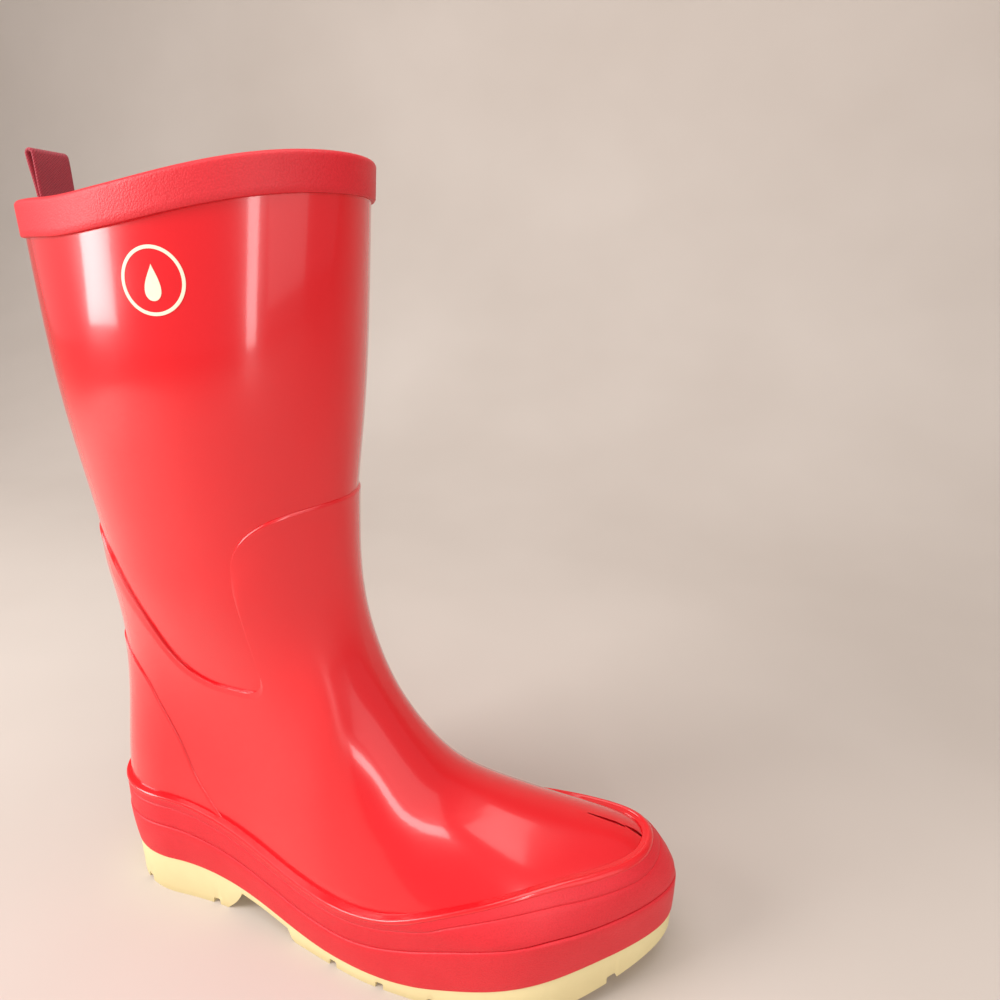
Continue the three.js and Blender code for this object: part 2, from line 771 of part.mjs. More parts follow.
// Panels below it: from one turn to another, between the sole and CLOTH_TOP.
const CLOTH_ROWS = [TOE_WALL_HEIGHT, 54, 60, 65, 70, 76, 83, 89, CLOTH_TOP];
function lowerCloth(name, from, to, material) {
  add(
    name,
    sheet({
      columns: Math.round((to - from) * FINE),
      rows: CLOTH_ROWS.length,
      ring: false,
      outer: () => clothOuter,
      inner: () => clothInner,
      at: (share, row) => {
        const turn = lerp(from, to, share);
        const foot = meet(turn, (x) => soleTop(x) + CLEARANCE, TOE_WALL_HEIGHT);
        return [turn, row === 0 ? foot : CLOTH_ROWS[row - 1]];
      },
    }),
    material,
  );
}
const HEEL_TURN = 8 / FINE; // where the heel stiffener ends
const TOE_TURN = 16 / FINE; // where the toe puff starts
const SPLIT = 0.006; // half the gap between two neighbours
lowerCloth("heel_stiffener", SPLIT - HEEL_TURN, HEEL_TURN - SPLIT, board);
lowerCloth("quarter_interlining_lateral", HEEL_TURN, TOE_TURN, cloth);
lowerCloth("toe_puff", TOE_TURN + SPLIT, 2 - TOE_TURN - SPLIT, board);
lowerCloth("quarter_interlining_medial", 2 - TOE_TURN, 2 - HEEL_TURN, cloth);

// ---- Lining ----

// Shares of the way from the join to the rim, closer together round the ankle.
const LINING_ROWS = [0, 0.06, 0.12, 0.19, 0.27, 0.36, 0.46, 0.6, 0.78, 1];
add(
  "leg_lining",
  wrap({
    side: COARSE,
    rows: LINING_ROWS.length - 1,
    outer: () => liningOuter,
    inner: () => liningInner,
    at: (share, row) => {
      const top = meet(share, legTop, RIM_BACK_HEIGHT);
      return [share, lerp(LINING_JOIN_HEIGHT + CLEARANCE, top, LINING_ROWS[row])];
    },
  }),
  knit,
);

// The foot of the sock is a trough: each section runs down one side, across and up the other.
const sockOuter = (x) => boardTop(x) + 2 * CLEARANCE;
const sockRows = [...CLOTH_ROWS, LINING_JOIN_HEIGHT].reverse();
function trough(turn, offset, floor) {
  const down = sockRows.map((z) => layer(turn, z, offset));
  const up = sockRows.map((z) => layer(2 - turn, z, offset)).reverse();
  return [...down, layerAt(turn, floor, offset), layerAt(2 - turn, floor, offset), ...up];
}
add(
  "foot_lining",
  sweep(
    range(COARSE + 1).map((j) => [
      ...trough(j / COARSE, liningOuter, sockOuter),
      ...trough(j / COARSE, liningInner, sockFloor).reverse(),
    ]),
    false,
    true,
  ),
  knit,
);

// A straight strip up the back of the lining's inner face.
function backStrip({ halfWidth, low, high, outer, wall, rows }) {
  return sheet({
    columns: 4,
    rows,
    ring: false,
    outer: () => outer,
    inner: () => outer - wall,
    at: (share, row) => {
      const z = lerp(low, high, row / rows);
      return [lerp(-1, 1, share) * turnAtWidth(halfWidth, z), z];
    },
  });
}

const LOOP_FOOT = LOOP_PLY + 0.1; // radius of the free loop's round foot
const hingeHeight = RIM_BACK_HEIGHT + LOOP_FOOT + CLEARANCE;
const tailTop = hingeHeight - LOOP_FOOT - 3 * CLEARANCE;
const tailBottom = tailTop - LOOP_TAIL_LENGTH;
const tailWall = 2 * LOOP_PLY;
const patchEdge = 3; // the patch is this much bigger than the tails
add(
  "lining_seam_tape",
  backStrip({
    halfWidth: 9,
    low: LINING_JOIN_HEIGHT,
    high: tailBottom - patchEdge - 2,
    outer: insideLining,
    wall: 0.6,
    rows: 6,
  }),
  cloth,
);

// ---- Pull loop ----

add(
  "loop_tails",
  backStrip({
    halfWidth: LOOP_WIDTH / 2,
    low: tailBottom,
    high: tailTop,
    outer: insideLining,
    wall: tailWall,
    rows: 3,
  }),
  webbingRed,
);
add(
  "loop_patch",
  backStrip({
    halfWidth: LOOP_WIDTH / 2 + patchEdge,
    low: tailBottom - patchEdge,
    high: tailTop - 8,
    outer: insideLining - tailWall - CLEARANCE,
    wall: 0.8,
    rows: 3,
  }),
  cloth,
);

// The free part of the loop, a strap folded over on itself, seen from the side. It turns about its round foot.
function loopSide() {
  const top = LOOP_PLY + 0.9;
  const crown = LOOP_HEIGHT - top;
  const shape = new THREE.Shape();
  shape.absarc(0, 0, LOOP_FOOT, Math.PI, 2 * Math.PI);
  shape.lineTo(top, crown);
  shape.absarc(0, crown, top, 0, Math.PI);
  const inside = top - LOOP_PLY;
  const hole = new THREE.Path();
  hole.moveTo(0.15, LOOP_FOOT + 1);
  hole.lineTo(inside, crown);
  hole.absarc(0, crown, inside, 0, Math.PI);
  hole.lineTo(-0.15, LOOP_FOOT + 1);
  shape.holes.push(hole);
  return shape;
}
const loop = add("pull_loop", across(loopSide(), LOOP_WIDTH), webbingRed);
const tailMiddle = insideLining - tailWall / 2;
loop.position.copy(layer(0, RIM_BACK_HEIGHT, tailMiddle)).setZ(hingeHeight);
loop.rotation.y = -LOOP_LEAN;

// ---- Bottom stack ----

const boardOffset = clothInner - 2 * CLEARANCE;
add("insole_board", slab({ top: boardTop, bottom: boardBottom, offset: boardOffset }), board);

// The shank lies under the board, let into the fillers.
const fillerTop = (x) => boardBottom(x) - CLEARANCE;
const shankTop = (x) => fillerTop(x) - CLEARANCE;
const shankStart = 74 - HEEL_CENTRE;
function shankBar(grow) {
  const steps = 8;
  const half = SHANK_WIDTH / 2 + grow;
  const sections = range(steps + 1).map((i) => {
    const x = shankStart - grow + ((SHANK_LENGTH + 2 * grow) * i) / steps;
    const z = shankTop(x) + grow;
    const low = shankTop(x) - SHANK_WALL - grow;
    return [
      new THREE.Vector3(x, -half, low),
      new THREE.Vector3(x, half, low),
      new THREE.Vector3(x, half, z),
      new THREE.Vector3(x, -half, z),
    ];
  });
  return sweep(sections, false);
}
add("shank", shankBar(0), steel);

const shankSlot = solid(shankBar(CLEARANCE));
function fillerBetween(from, to) {
  const block = slab({
    from,
    to,
    top: fillerTop,
    bottom: (x) => soleTop(x) + 2 * CLEARANCE,
    offset: boardOffset,
  });
  return geometryOf(solid(block).subtract(shankSlot));
}
add("heel_filler", fillerBetween(0, turnAt(100 - HEEL_CENTRE, 30)), filler);
add("forefoot_filler", fillerBetween(turnAt(132 - HEEL_CENTRE, 30), 1), filler);

const footbedOffset = liningInner - FOOTBED_CLEARANCE;
const coverTop = (x) => coverBottom(x) + COVER_WALL;
const footbedLayer = (top, bottom) => slab({ side: COARSE, top, bottom, offset: footbedOffset });
add("footbed_foam", footbedLayer(foamTop, foamBottom), foam);
add("footbed_cover", footbedLayer(coverTop, coverBottom), cloth);

// ---- Printed mark: a thin ring of ink on the outer side of the leg ----

function printRing() {
  const inkOuter = CLEARANCE + 0.35;
  const steps = 32;
  const place = (angle, radius, offset) => {
    const z = PRINT_HEIGHT + radius * Math.sin(angle);
    const x = PRINT_FORWARD - HEEL_CENTRE + radius * Math.cos(angle);
    return layer(turnAt(x, z), z, offset);
  };
  const sections = range(steps).map((i) => {
    const angle = (2 * Math.PI * i) / steps;
    const inside = PRINT_RADIUS - PRINT_LINE;
    return [
      place(angle, inside, CLEARANCE),
      place(angle, PRINT_RADIUS, CLEARANCE),
      place(angle, PRINT_RADIUS, inkOuter),
      place(angle, inside, inkOuter),
    ];
  });
  return sweep(sections, true);
}
add("side_print", printRing(), creamInk);

export default boot;
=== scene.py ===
# %% [markdown]
# A tall rubber rain boot for the right foot. The imported CAD model is the frame: it says where each piece
# is and which pieces move together. This script gives the boot its finished surfaces round that frame.
# Nothing of the frame is moved. Each new piece hides the CAD pieces it stands for.

# %% Load the frame
import json
import math

import bpy
import numpy as np
from mathutils import Matrix, Vector


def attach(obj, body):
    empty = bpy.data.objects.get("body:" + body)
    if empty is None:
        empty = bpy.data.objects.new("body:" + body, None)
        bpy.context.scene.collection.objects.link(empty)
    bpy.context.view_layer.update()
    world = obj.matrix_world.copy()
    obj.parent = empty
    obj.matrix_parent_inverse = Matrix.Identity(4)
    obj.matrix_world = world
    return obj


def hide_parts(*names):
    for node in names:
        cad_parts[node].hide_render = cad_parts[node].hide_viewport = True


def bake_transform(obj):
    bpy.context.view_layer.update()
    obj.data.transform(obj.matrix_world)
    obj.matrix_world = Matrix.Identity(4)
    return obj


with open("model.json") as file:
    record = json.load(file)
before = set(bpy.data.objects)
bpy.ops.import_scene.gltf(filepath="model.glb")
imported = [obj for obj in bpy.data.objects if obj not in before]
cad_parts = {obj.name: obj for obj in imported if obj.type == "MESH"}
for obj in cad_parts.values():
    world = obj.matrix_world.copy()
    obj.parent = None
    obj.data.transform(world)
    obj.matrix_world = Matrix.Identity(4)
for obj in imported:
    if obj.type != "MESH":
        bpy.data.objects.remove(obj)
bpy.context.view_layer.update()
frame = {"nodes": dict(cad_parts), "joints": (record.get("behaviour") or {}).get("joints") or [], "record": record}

MM = 0.001
bpy.ops.object.select_all(action="DESELECT")

# %% [markdown]
# The camera comes first, because it decides what has to be good. It stands above and in front of the
# outer side of the boot, close enough that the leg narrows visibly towards the floor. A camera could be
# aimed with a Track To constraint; here its three axes are worked out from three angles instead, because a
# slight roll is part of the view and a constraint would level it.

# %% Camera
CAMERA_PLACE = Vector((237.7, -258.8, 321.6)) * MM
CAMERA_TURN = math.radians(15.881)
CAMERA_DIP = math.radians(18.589)
CAMERA_ROLL = math.radians(1.498)
LENS = 24.93

forward = Vector((
    -math.sin(CAMERA_TURN) * math.cos(CAMERA_DIP),
    math.cos(CAMERA_TURN) * math.cos(CAMERA_DIP),
    -math.sin(CAMERA_DIP),
))
level = Vector((math.cos(CAMERA_TURN), math.sin(CAMERA_TURN), 0))
upright = level.cross(forward)
right = level * math.cos(CAMERA_ROLL) + upright * math.sin(CAMERA_ROLL)
above = upright * math.cos(CAMERA_ROLL) - level * math.sin(CAMERA_ROLL)
bpy.ops.object.camera_add()
camera = bpy.context.object
camera.name = "camera"
camera_axes = Matrix((right, above, -forward)).transposed().to_4x4()
camera.matrix_world = Matrix.Translation(CAMERA_PLACE) @ camera_axes
camera.data.lens = LENS
camera.data.clip_start = 0.01
bpy.context.scene.camera = camera
print("camera looks along", [round(v, 3) for v in forward])

# %% [markdown]
# A rubber boot is built on a last, a solid foot and leg, and every layer follows it. So the last is a
# formula here, and every visible panel is laid on it at its own height. One could sculpt each panel
# instead, but then two layers would cut through each other. All sizes below are in millimetres.

# %% Sizes
FOOT_LENGTH = 286
HEEL_CENTRE = 38  # from the heel's back to the origin
HEEL_WIDTH, WAIST_WIDTH, BALL_WIDTH = 60, 62, 84
TOE_DRIFT = 17
TOE_WALL_HEIGHT = 46
ANKLE_HEIGHT, ANKLE_DEPTH, ANKLE_WIDTH = 150, 125, 78
RIM_BACK_HEIGHT, RIM_FRONT_HEIGHT = 342, 360
RIM_DEPTH, RIM_WIDTH = 155.5, 95


def lerp(a, b, share):
    return a + (b - a) * share


def ease(a, b, x):
    """0 before a, 1 after b, smooth between."""
    t = np.clip((x - a) / (b - a), 0, 1)
    return t * t * (3 - 2 * t)


def spline(points, level_start=False):
    """A smooth curve y(x) through points, level at its first point if asked."""
    x, y = np.array(points, float).T
    count = len(x)
    step = np.diff(x)
    slope = np.diff(y) / step
    rows, sums = np.zeros((count, count)), np.zeros(count)
    rows[0, 0] = rows[-1, -1] = 1
    for i in range(1, count - 1):
        rows[i, i - 1 : i + 2] = step[i - 1], 2 * (step[i - 1] + step[i]), step[i]
        sums[i] = 6 * (slope[i] - slope[i - 1])
    if level_start:
        rows[0, :2] = 2 * step[0], step[0]
        sums[0] = 6 * slope[0]
    bend = np.linalg.solve(rows, sums)

    def at(t):
        i = np.clip(np.searchsorted(x, t, side="right") - 1, 0, count - 2)
        b = (t - x[i]) / step[i]
        a = 1 - b
        curved = (a**3 - a) * bend[i] + (b**3 - b) * bend[i + 1]
        return a * y[i] + b * y[i + 1] + curved * step[i] ** 2 / 6

    return at


# %% [markdown]
# The last has a back line and a front line seen from the side, and a half width on each side of them.
# Low down the width is the foot's, with a round heel, a hollow at the inner arch and a round toe. Higher up
# it passes smoothly into the leg's oval.

# %% The last
def leg_height(share):
    return lerp(ANKLE_HEIGHT, RIM_FRONT_HEIGHT, share)


back_line = spline([
    (0, 7.5), (26, 2.7), (49, 0.5), (78, 2), (111, 6), (ANKLE_HEIGHT, 8.5), (leg_height(0.2), 8),
    (leg_height(0.48), 3.3), (leg_height(0.76), -5), (leg_height(1), -10),
])
front_shares = [(TOE_WALL_HEIGHT, 1), (55, 0.98), (61, 0.96), (67, 0.925), (74, 0.83), (84, 0.69),
                (97, 0.609), (115, 0.554), (ANKLE_HEIGHT - 10, 0.502)]
front_curve = spline(
    [(z, share * FOOT_LENGTH) for z, share in front_shares]
    + [
        (ANKLE_HEIGHT + 19, 10 + ANKLE_DEPTH), (leg_height(0.26), 7.5 + ANKLE_DEPTH),
        (leg_height(0.5), RIM_DEPTH - 18.5), (leg_height(0.76), RIM_DEPTH - 13.5),
        (leg_height(1), RIM_DEPTH - 10),
    ],
    level_start=True,
)
LEG_FOOT = 92
leg_half_width = spline([
    (LEG_FOOT, ANKLE_WIDTH / 2 - 4), (121, ANKLE_WIDTH / 2 - 4.3), (ANKLE_HEIGHT, ANKLE_WIDTH / 2 - 3.3),
    (leg_height(0.23), ANKLE_WIDTH / 2), (leg_height(0.55), RIM_WIDTH / 2 + 2.3),
    (leg_height(0.77), RIM_WIDTH / 2 + 2.5), (leg_height(1), RIM_WIDTH / 2),
])
outer_width = spline([
    (share * FOOT_LENGTH, width) for share, width in [
        (0, HEEL_WIDTH / 2 + 0.8), (0.14, HEEL_WIDTH / 2 - 2.8), (0.29, HEEL_WIDTH / 2 - 1.1),
        (0.4, WAIST_WIDTH * 0.57), (0.53, BALL_WIDTH / 2 + 0.4), (0.68, BALL_WIDTH / 2 + 5.9),
        (0.83, BALL_WIDTH / 2 + 15.5), (1, BALL_WIDTH / 2 + 2.7),
    ]
])
inner_width = spline([
    (share * FOOT_LENGTH, width) for share, width in [
        (0, HEEL_WIDTH / 2 + 1.7), (0.14, HEEL_WIDTH / 2 + 1.8), (0.29, HEEL_WIDTH / 2 - 1.9),
        (0.39, WAIST_WIDTH * 0.43), (0.52, BALL_WIDTH / 2 - 10), (0.69, BALL_WIDTH / 2 - 6),
        (0.83, BALL_WIDTH / 2 - 8), (1, BALL_WIDTH / 2 + 3),
    ]
])


def front_line(z):
    return np.where(z < TOE_WALL_HEIGHT, FOOT_LENGTH, front_curve(np.maximum(z, TOE_WALL_HEIGHT)))


ROOF_FLOOR = TOE_WALL_HEIGHT - 2
ROOF_SAMPLES = 1200
roof_heights = np.linspace(ROOF_FLOOR, ANKLE_HEIGHT + 51, ROOF_SAMPLES)
roof_fronts = np.minimum.accumulate(front_line(roof_heights) - 1e-6 * np.arange(ROOF_SAMPLES))
# The roof steps up into the leg. Behind the first place it is smoothed, and ahead of the second left alone.
INSTEP_FLAT, INSTEP_SHARP = 150, 185
ROOF_STEP, SMOOTH_REACH, SMOOTH_WIDTH = 0.5, 40, 7
roof_places = np.arange(60, FOOT_LENGTH, ROOF_STEP)
roof_exact = np.interp(-roof_places, -roof_fronts, roof_heights)
hump = np.exp(-((np.arange(-SMOOTH_REACH, SMOOTH_REACH + 1) * ROOF_STEP / SMOOTH_WIDTH) ** 2))
roof_padded = np.pad(roof_exact, SMOOTH_REACH, mode="edge")
roof_smooth = np.convolve(roof_padded, hump / hump.sum(), mode="valid")


def roof(x):
    """The height of the foot's roof at x from the heel."""
    exact = np.interp(-x, -roof_fronts, roof_heights)
    smooth = np.interp(x, roof_places, roof_smooth)
    return lerp(smooth, exact, ease(INSTEP_FLAT, INSTEP_SHARP, x))


HEEL_ROUND = 36
TOE_ROUND_START = 0.62 * FOOT_LENGTH
TOE_FULLNESS, ROOF_FULLNESS, LEG_FULLNESS, NOSE_FULLNESS = 1.6, 1.2, 2.2, 0.7
NOSE_RISE = 16
LEG_STARTS, LEG_FULL = 84, 191
RIM_BACK_FULLNESS, BACK_NARROWS = 1.5, 200
DRIFT_FADES, DRIFT_GONE = 64, 151


def foot_half(x, z, outer_side):
    along = np.clip(x - back_line(z) * (1 - x / FOOT_LENGTH), 0, FOOT_LENGTH)
    width = np.where(outer_side, outer_width(along), inner_width(along))
    heel = np.sqrt(1 - (1 - np.minimum(along / HEEL_ROUND, 1)) ** 2)
    near_tip = np.maximum(0, (along - TOE_ROUND_START) / (FOOT_LENGTH - TOE_ROUND_START))
    toe = np.sqrt(np.maximum(0, 1 - near_tip**TOE_FULLNESS))
    rise = np.maximum(0, z - ROOF_FLOOR) / np.maximum(roof(x) - ROOF_FLOOR, 1e-6)
    arch = np.sqrt(np.maximum(0, 1 - np.minimum(rise, 1) ** ROOF_FULLNESS))
    nose = lerp(toe, toe**NOSE_FULLNESS, ease(ROOF_FLOOR, ROOF_FLOOR + NOSE_RISE, z))
    return width * heel * nose * arch


def leg_half(x, z):
    middle = (front_line(z) + back_line(z)) / 2
    reach = np.minimum(1, np.abs(x - middle) / (front_line(z) - middle))
    back = lerp(LEG_FULLNESS, RIM_BACK_FULLNESS, ease(BACK_NARROWS, RIM_BACK_HEIGHT, z))
    fullness = np.where(x < middle, back, LEG_FULLNESS)
    return leg_half_width(np.maximum(z, LEG_FOOT)) * np.sqrt(1 - reach**fullness)


def last(turn, z):
    """A point of the last: turn 0 is the back, 1 the front along the outer side, 2 the back again."""
    turn, z = np.broadcast_arrays(np.asarray(turn, float), np.asarray(z, float))
    wrapped = np.mod(turn, 2)
    outer_side = wrapped <= 1
    tau = np.where(outer_side, wrapped, 2 - wrapped)
    back = back_line(z)
    x = back + (front_line(z) - back) * (1 - np.cos(np.pi * tau)) / 2
    half = lerp(foot_half(x, z, outer_side), leg_half(x, z), ease(LEG_STARTS, LEG_FULL, z))
    half = np.where(np.abs(tau - 1) < 1e-9, 0, half)
    lean = ease(0.52 * FOOT_LENGTH, 1.05 * FOOT_LENGTH, x)
    drift = TOE_DRIFT * lean * (1 - ease(DRIFT_FADES, DRIFT_GONE, z))
    return np.stack([x - HEEL_CENTRE, drift + np.where(outer_side, -half, half), z], -1)


def layer(turn, z, offset):
    """The same point, offset outwards square to the last."""
    step, rise = 1e-3, 1.5
    turn, z, offset = np.broadcast_arrays(*(np.asarray(v, float) for v in (turn, z, offset)))
    along = last(turn + step, z) - last(turn - step, z)
    up = last(turn, z + rise) - last(turn, z - rise)
    out = np.cross(along, up)
    return last(turn, z) + offset[..., None] * out / np.linalg.norm(out, axis=-1, keepdims=True)


def meet(turn, height_of):
    """The height at each turn where the last meets the line height_of(x)."""
    z = np.full(np.shape(turn), float(TOE_WALL_HEIGHT))
    for _ in range(8):
        z = height_of(last(turn, z)[..., 0])
    return z


def turn_at(x, z):
    """The turn at which a level reaches x, on the outer side."""
    back = back_line(z) - HEEL_CENTRE
    depth = front_line(z) - HEEL_CENTRE - back
    return np.arccos(np.clip(1 - 2 * (x - back) / depth, -1, 1)) / np.pi


print("last: rim depth", RIM_DEPTH, "foot length", FOOT_LENGTH)

# %% [markdown]
# Lines drawn along the last: the rim, the top of the rubber strips round the foot, the top of the sole.

# %% Lines
CLEARANCE = 0.35
SOLE_HEEL, SOLE_WAIST, SOLE_TOE = 23, 7, 26
FOXING_HEEL, FOXING_WAIST, FOXING_TOE = 59.5, 38, 60.5
FOXING_UPPER_HEIGHT = 15.5
BAND_HEIGHT = 14
LEG_WALL, VAMP_WALL = 1.8, 1.1


def sole_top(x):
    heel = SOLE_HEEL + (SOLE_WAIST - SOLE_HEEL) * ease(40, 140, x + HEEL_CENTRE)
    return heel + (SOLE_TOE - SOLE_WAIST) * ease(0.577 * FOOT_LENGTH, 0.916 * FOOT_LENGTH, x + HEEL_CENTRE)


def foxing_top(x):
    heel = FOXING_HEEL + (FOXING_WAIST - FOXING_HEEL) * ease(30, 0.49 * FOOT_LENGTH, x + HEEL_CENTRE)
    toe = ease(0.49 * FOOT_LENGTH, 0.857 * FOOT_LENGTH, x + HEEL_CENTRE)
    return heel + (FOXING_TOE - FOXING_WAIST) * toe


def foxing_middle(x):
    return foxing_top(x) - FOXING_UPPER_HEIGHT


def rim(x):
    return lerp(RIM_BACK_HEIGHT, RIM_FRONT_HEIGHT, ease(37, RIM_DEPTH, x + HEEL_CENTRE))


VAMP_FRONT, VAMP_BACK, VAMP_NOTCH = 226, 207, 133
HALF_GIRTH = 185
vamp_back = [(0, 1), (0.1, 0.985), (0.2, 0.94), (0.258, 0.85), (0.311, 0.65), (0.361, 0.38), (0.411, 0.12),
             (0.464, 0.02), (0.53, 0)]
vamp_front = [(0.59, 0.02), (0.614, 0.08), (0.627, 0.22), (0.632, 0.387), (0.634, 0.545), (0.638, 0.69),
              (0.653, 0.8), (0.69, 0.89), (0.75, 0.955), (0.83, 0.99), (1, 1)]
edge_knots = np.array(
    [(turn * HALF_GIRTH, lerp(VAMP_NOTCH, VAMP_BACK, share)) for turn, share in vamp_back]
    + [(turn * HALF_GIRTH, lerp(VAMP_NOTCH, VAMP_FRONT, share)) for turn, share in vamp_front]
)
knot_lengths = np.r_[0, np.cumsum(np.hypot(*np.diff(edge_knots, axis=0).T))]
edge_run = np.linspace(0, knot_lengths[-1], 1500)
edge_line = np.stack([
    spline(list(zip(knot_lengths, edge_knots[:, k])))(edge_run) for k in (0, 1)
])
edge_share = np.r_[0, np.cumsum(np.hypot(*np.diff(edge_line, axis=1)))]
edge_share /= edge_share[-1]


def vamp_edge(share, lap=0.0):
    """Turn and height of the vamp's edge, 0 at the back and 1 at the front, moved in under it by lap."""
    at = [np.interp(share, edge_share, edge_line[k]) for k in (0, 1)]
    near = [np.interp(np.clip(share + 0.004, 0, 1), edge_share, edge_line[k]) for k in (0, 1)]
    far = [np.interp(np.clip(share - 0.004, 0, 1), edge_share, edge_line[k]) for k in (0, 1)]
    along = np.stack([near[0] - far[0], near[1] - far[1]])
    along /= np.hypot(*along)
    turn = np.clip((at[0] + lap * along[1]) / HALF_GIRTH, 0, 1)
    return np.where((share <= 0) | (share >= 1), share, turn), at[1] - lap * along[0]


print("vamp edge lowest at", round(float(edge_line[1].min()), 1), "mm")

# %% [markdown]
# Every rubber sheet is made the same way: a flat grid is added, its two directions become the way round
# the boot and the way round the sheet's own cross-section, and its corners are laid on the last. Where the
# ends of the grid meet, the doubles are merged, which closes the sheet into one skin with a wall. The grid's
# own UV map is kept and given real lengths, so that a pattern can follow the strip.

# %% From grid to sheet
def start_piece(name, add, **settings):
    """Adds one primitive with nothing else selected, and names it."""
    bpy.ops.object.select_all(action="DESELECT")
    add(**settings)
    piece = bpy.context.object
    piece.name = piece.data.name = name
    return piece


def tidy_mesh(piece, merge=2e-6):
    """Merges doubles and turns every face outwards."""
    bpy.ops.object.select_all(action="DESELECT")
    piece.select_set(True)
    bpy.context.view_layer.objects.active = piece
    bpy.ops.object.mode_set(mode="EDIT")
    bpy.ops.mesh.select_all(action="SELECT")
    bpy.ops.mesh.remove_doubles(threshold=merge)
    bpy.ops.mesh.normals_make_consistent(inside=False)
    bpy.ops.object.mode_set(mode="OBJECT")


def lay_grid(name, corners, sharp=40):
    """A grid with its corners at corners[row, column], in millimetres."""
    rows, columns = corners.shape[0] - 1, corners.shape[1] - 1
    piece = start_piece(
        name, bpy.ops.mesh.primitive_grid_add, x_subdivisions=columns, y_subdivisions=rows, size=1
    )
    flat = np.empty(len(piece.data.vertices) * 3)
    piece.data.vertices.foreach_get("co", flat)
    column = np.rint((flat[0::3] + 0.5) * columns).astype(int)
    row = np.rint((flat[1::3] + 0.5) * rows).astype(int)
    piece.data.vertices.foreach_set("co", (corners[row, column] * MM).ravel())
    across = np.linalg.norm(np.diff(corners, axis=1), axis=2).mean(0)
    up = np.linalg.norm(np.diff(corners, axis=0), axis=2).mean(1)
    lengths = np.stack([np.r_[0, np.cumsum(across)][column], np.r_[0, np.cumsum(up)][row]], -1) * MM
    loops = np.empty(len(piece.data.loops), int)
    piece.data.loops.foreach_get("vertex_index", loops)
    piece.data.uv_layers[0].data.foreach_set("uv", lengths[loops].ravel())
    tidy_mesh(piece)
    bpy.ops.object.shade_smooth_by_angle(angle=math.radians(sharp))
    return piece


def report(piece):
    piece.data.calc_loop_triangles()
    size = [round(v * 1000, 1) for v in piece.dimensions]
    print(f"{piece.name}: {len(piece.data.loop_triangles)} triangles, {size} mm")


# %% [markdown]
# A sheet's edge is never square: it is cut, laid and rolled down, so it rounds over in about a millimetre.
# The rows near an edge are close together, and the sheet's thickness falls to nothing along a quarter circle.

# %% Sheets
def rolled(distance, radius):
    """Share of the full thickness at a distance from the edge."""
    return np.sqrt(np.maximum(0, 1 - (1 - np.clip(distance / radius, 0, 1)) ** 2))


def rows_to_edge(count, length, radius):
    """Shares 0..1 with close rows within radius of the end, for a run of that length."""
    near = 1 - radius * np.array([1.4, 1, 0.7, 0.4, 0.2, 0.06, 0]) / length
    return np.r_[np.linspace(0, near[0] - 2 * radius / length, count), near]


def sheet(name, columns, rows, place, outer, inner, ring=True):
    """A closed sheet. place(share, row) gives turn and height on one side, for share 0 back to 1 front."""
    span = np.linspace(0, 2, columns + 1) if ring else np.linspace(0, 1, columns + 1)
    mirrored = span > 1
    share = np.where(mirrored, 2 - span, span)

    def line(row, offset):
        turn, z = place(share, row)
        return layer(np.where(mirrored, 2 - turn, turn), z, offset(share, row))

    path = [line(row, outer) for row in rows] + [line(row, inner) for row in rows[::-1]]
    return lay_grid(name, np.stack(path + path[:1]))


def strip(name, columns, low, high, section, sharp=40):
    """A ring from a cross-section: each point is an offset, a share from low to high, and a rise."""
    turn = np.linspace(0, 2, columns + 1)
    path = []
    for offset, share, rise in section:
        z = meet(turn, lambda x: lerp(low(x), high(x), share) + rise)
        path.append(layer(turn, z, offset))
    return lay_grid(name, np.stack(path + path[:1]), sharp)


# %% [markdown]
# Leg panel: the tube of glossy rubber from under the vamp to the rim. Its lower edge follows the vamp's and
# runs on a little beneath it, where it is pared thin.

# %% Leg panel
LAP = 12


def leg_place(share, row):
    """Rows below 0 run on under the vamp."""
    lap = LAP * max(0.0, -row)
    edge_turn, edge_z = vamp_edge(share, lap)
    up = max(0.0, row)
    top = meet(share, lambda x: rim(x) - 1.5)
    return lerp(edge_turn, share, ease(0, 1, up)), lerp(edge_z, top, up)


leg = sheet(
    "leg", 288, np.r_[-1, -0.5, np.linspace(0, 1, 46)], leg_place,
    outer=lambda share, row: -0.5 * max(0.0, -row), inner=lambda share, row: -LEG_WALL,
)
report(leg)

# %% [markdown]
# Vamp: the second layer of glossy rubber, over foot and ankle. Its edge sweeps down to a rounded notch on
# the side and up to the front, and shows as a fine step on the leg.

# %% Vamp
VAMP_INNER = 0.6
VAMP_OUTER = VAMP_INNER + VAMP_WALL
EDGE_ROUND = 0.9
VAMP_RUN = 150  # about how far it is from the sole to the edge
vamp_levels = np.r_[np.linspace(TOE_WALL_HEIGHT, 70, 18), np.linspace(72, 100, 11), 106, 112, 118]


def vamp_place(share, row):
    """Rows up to 1 climb the foot level by level; from 1 to 2 they close in on the edge."""
    if row <= 0:
        return share, meet(share, lambda x: sole_top(x) + CLEARANCE)
    edge_turn, edge_z = vamp_edge(share)
    if row <= 1:
        z = np.interp(row, np.linspace(0, 1, len(vamp_levels) + 1)[1:], vamp_levels)
    else:
        z = lerp(vamp_levels[-1], edge_z, row - 1)
    return lerp(share, edge_turn, ease(60, edge_z, z)), z


def vamp_outer(share, row):
    distance = (2 - row) * VAMP_RUN / 2
    swell = lerp(1.05, VAMP_OUTER, ease(0, 16, distance))
    return lerp(-0.1, swell, rolled(distance, EDGE_ROUND))


def vamp_inner(share, row):
    return lerp(-0.1, VAMP_INNER, ease(1, 10, (2 - row) * VAMP_RUN / 2))


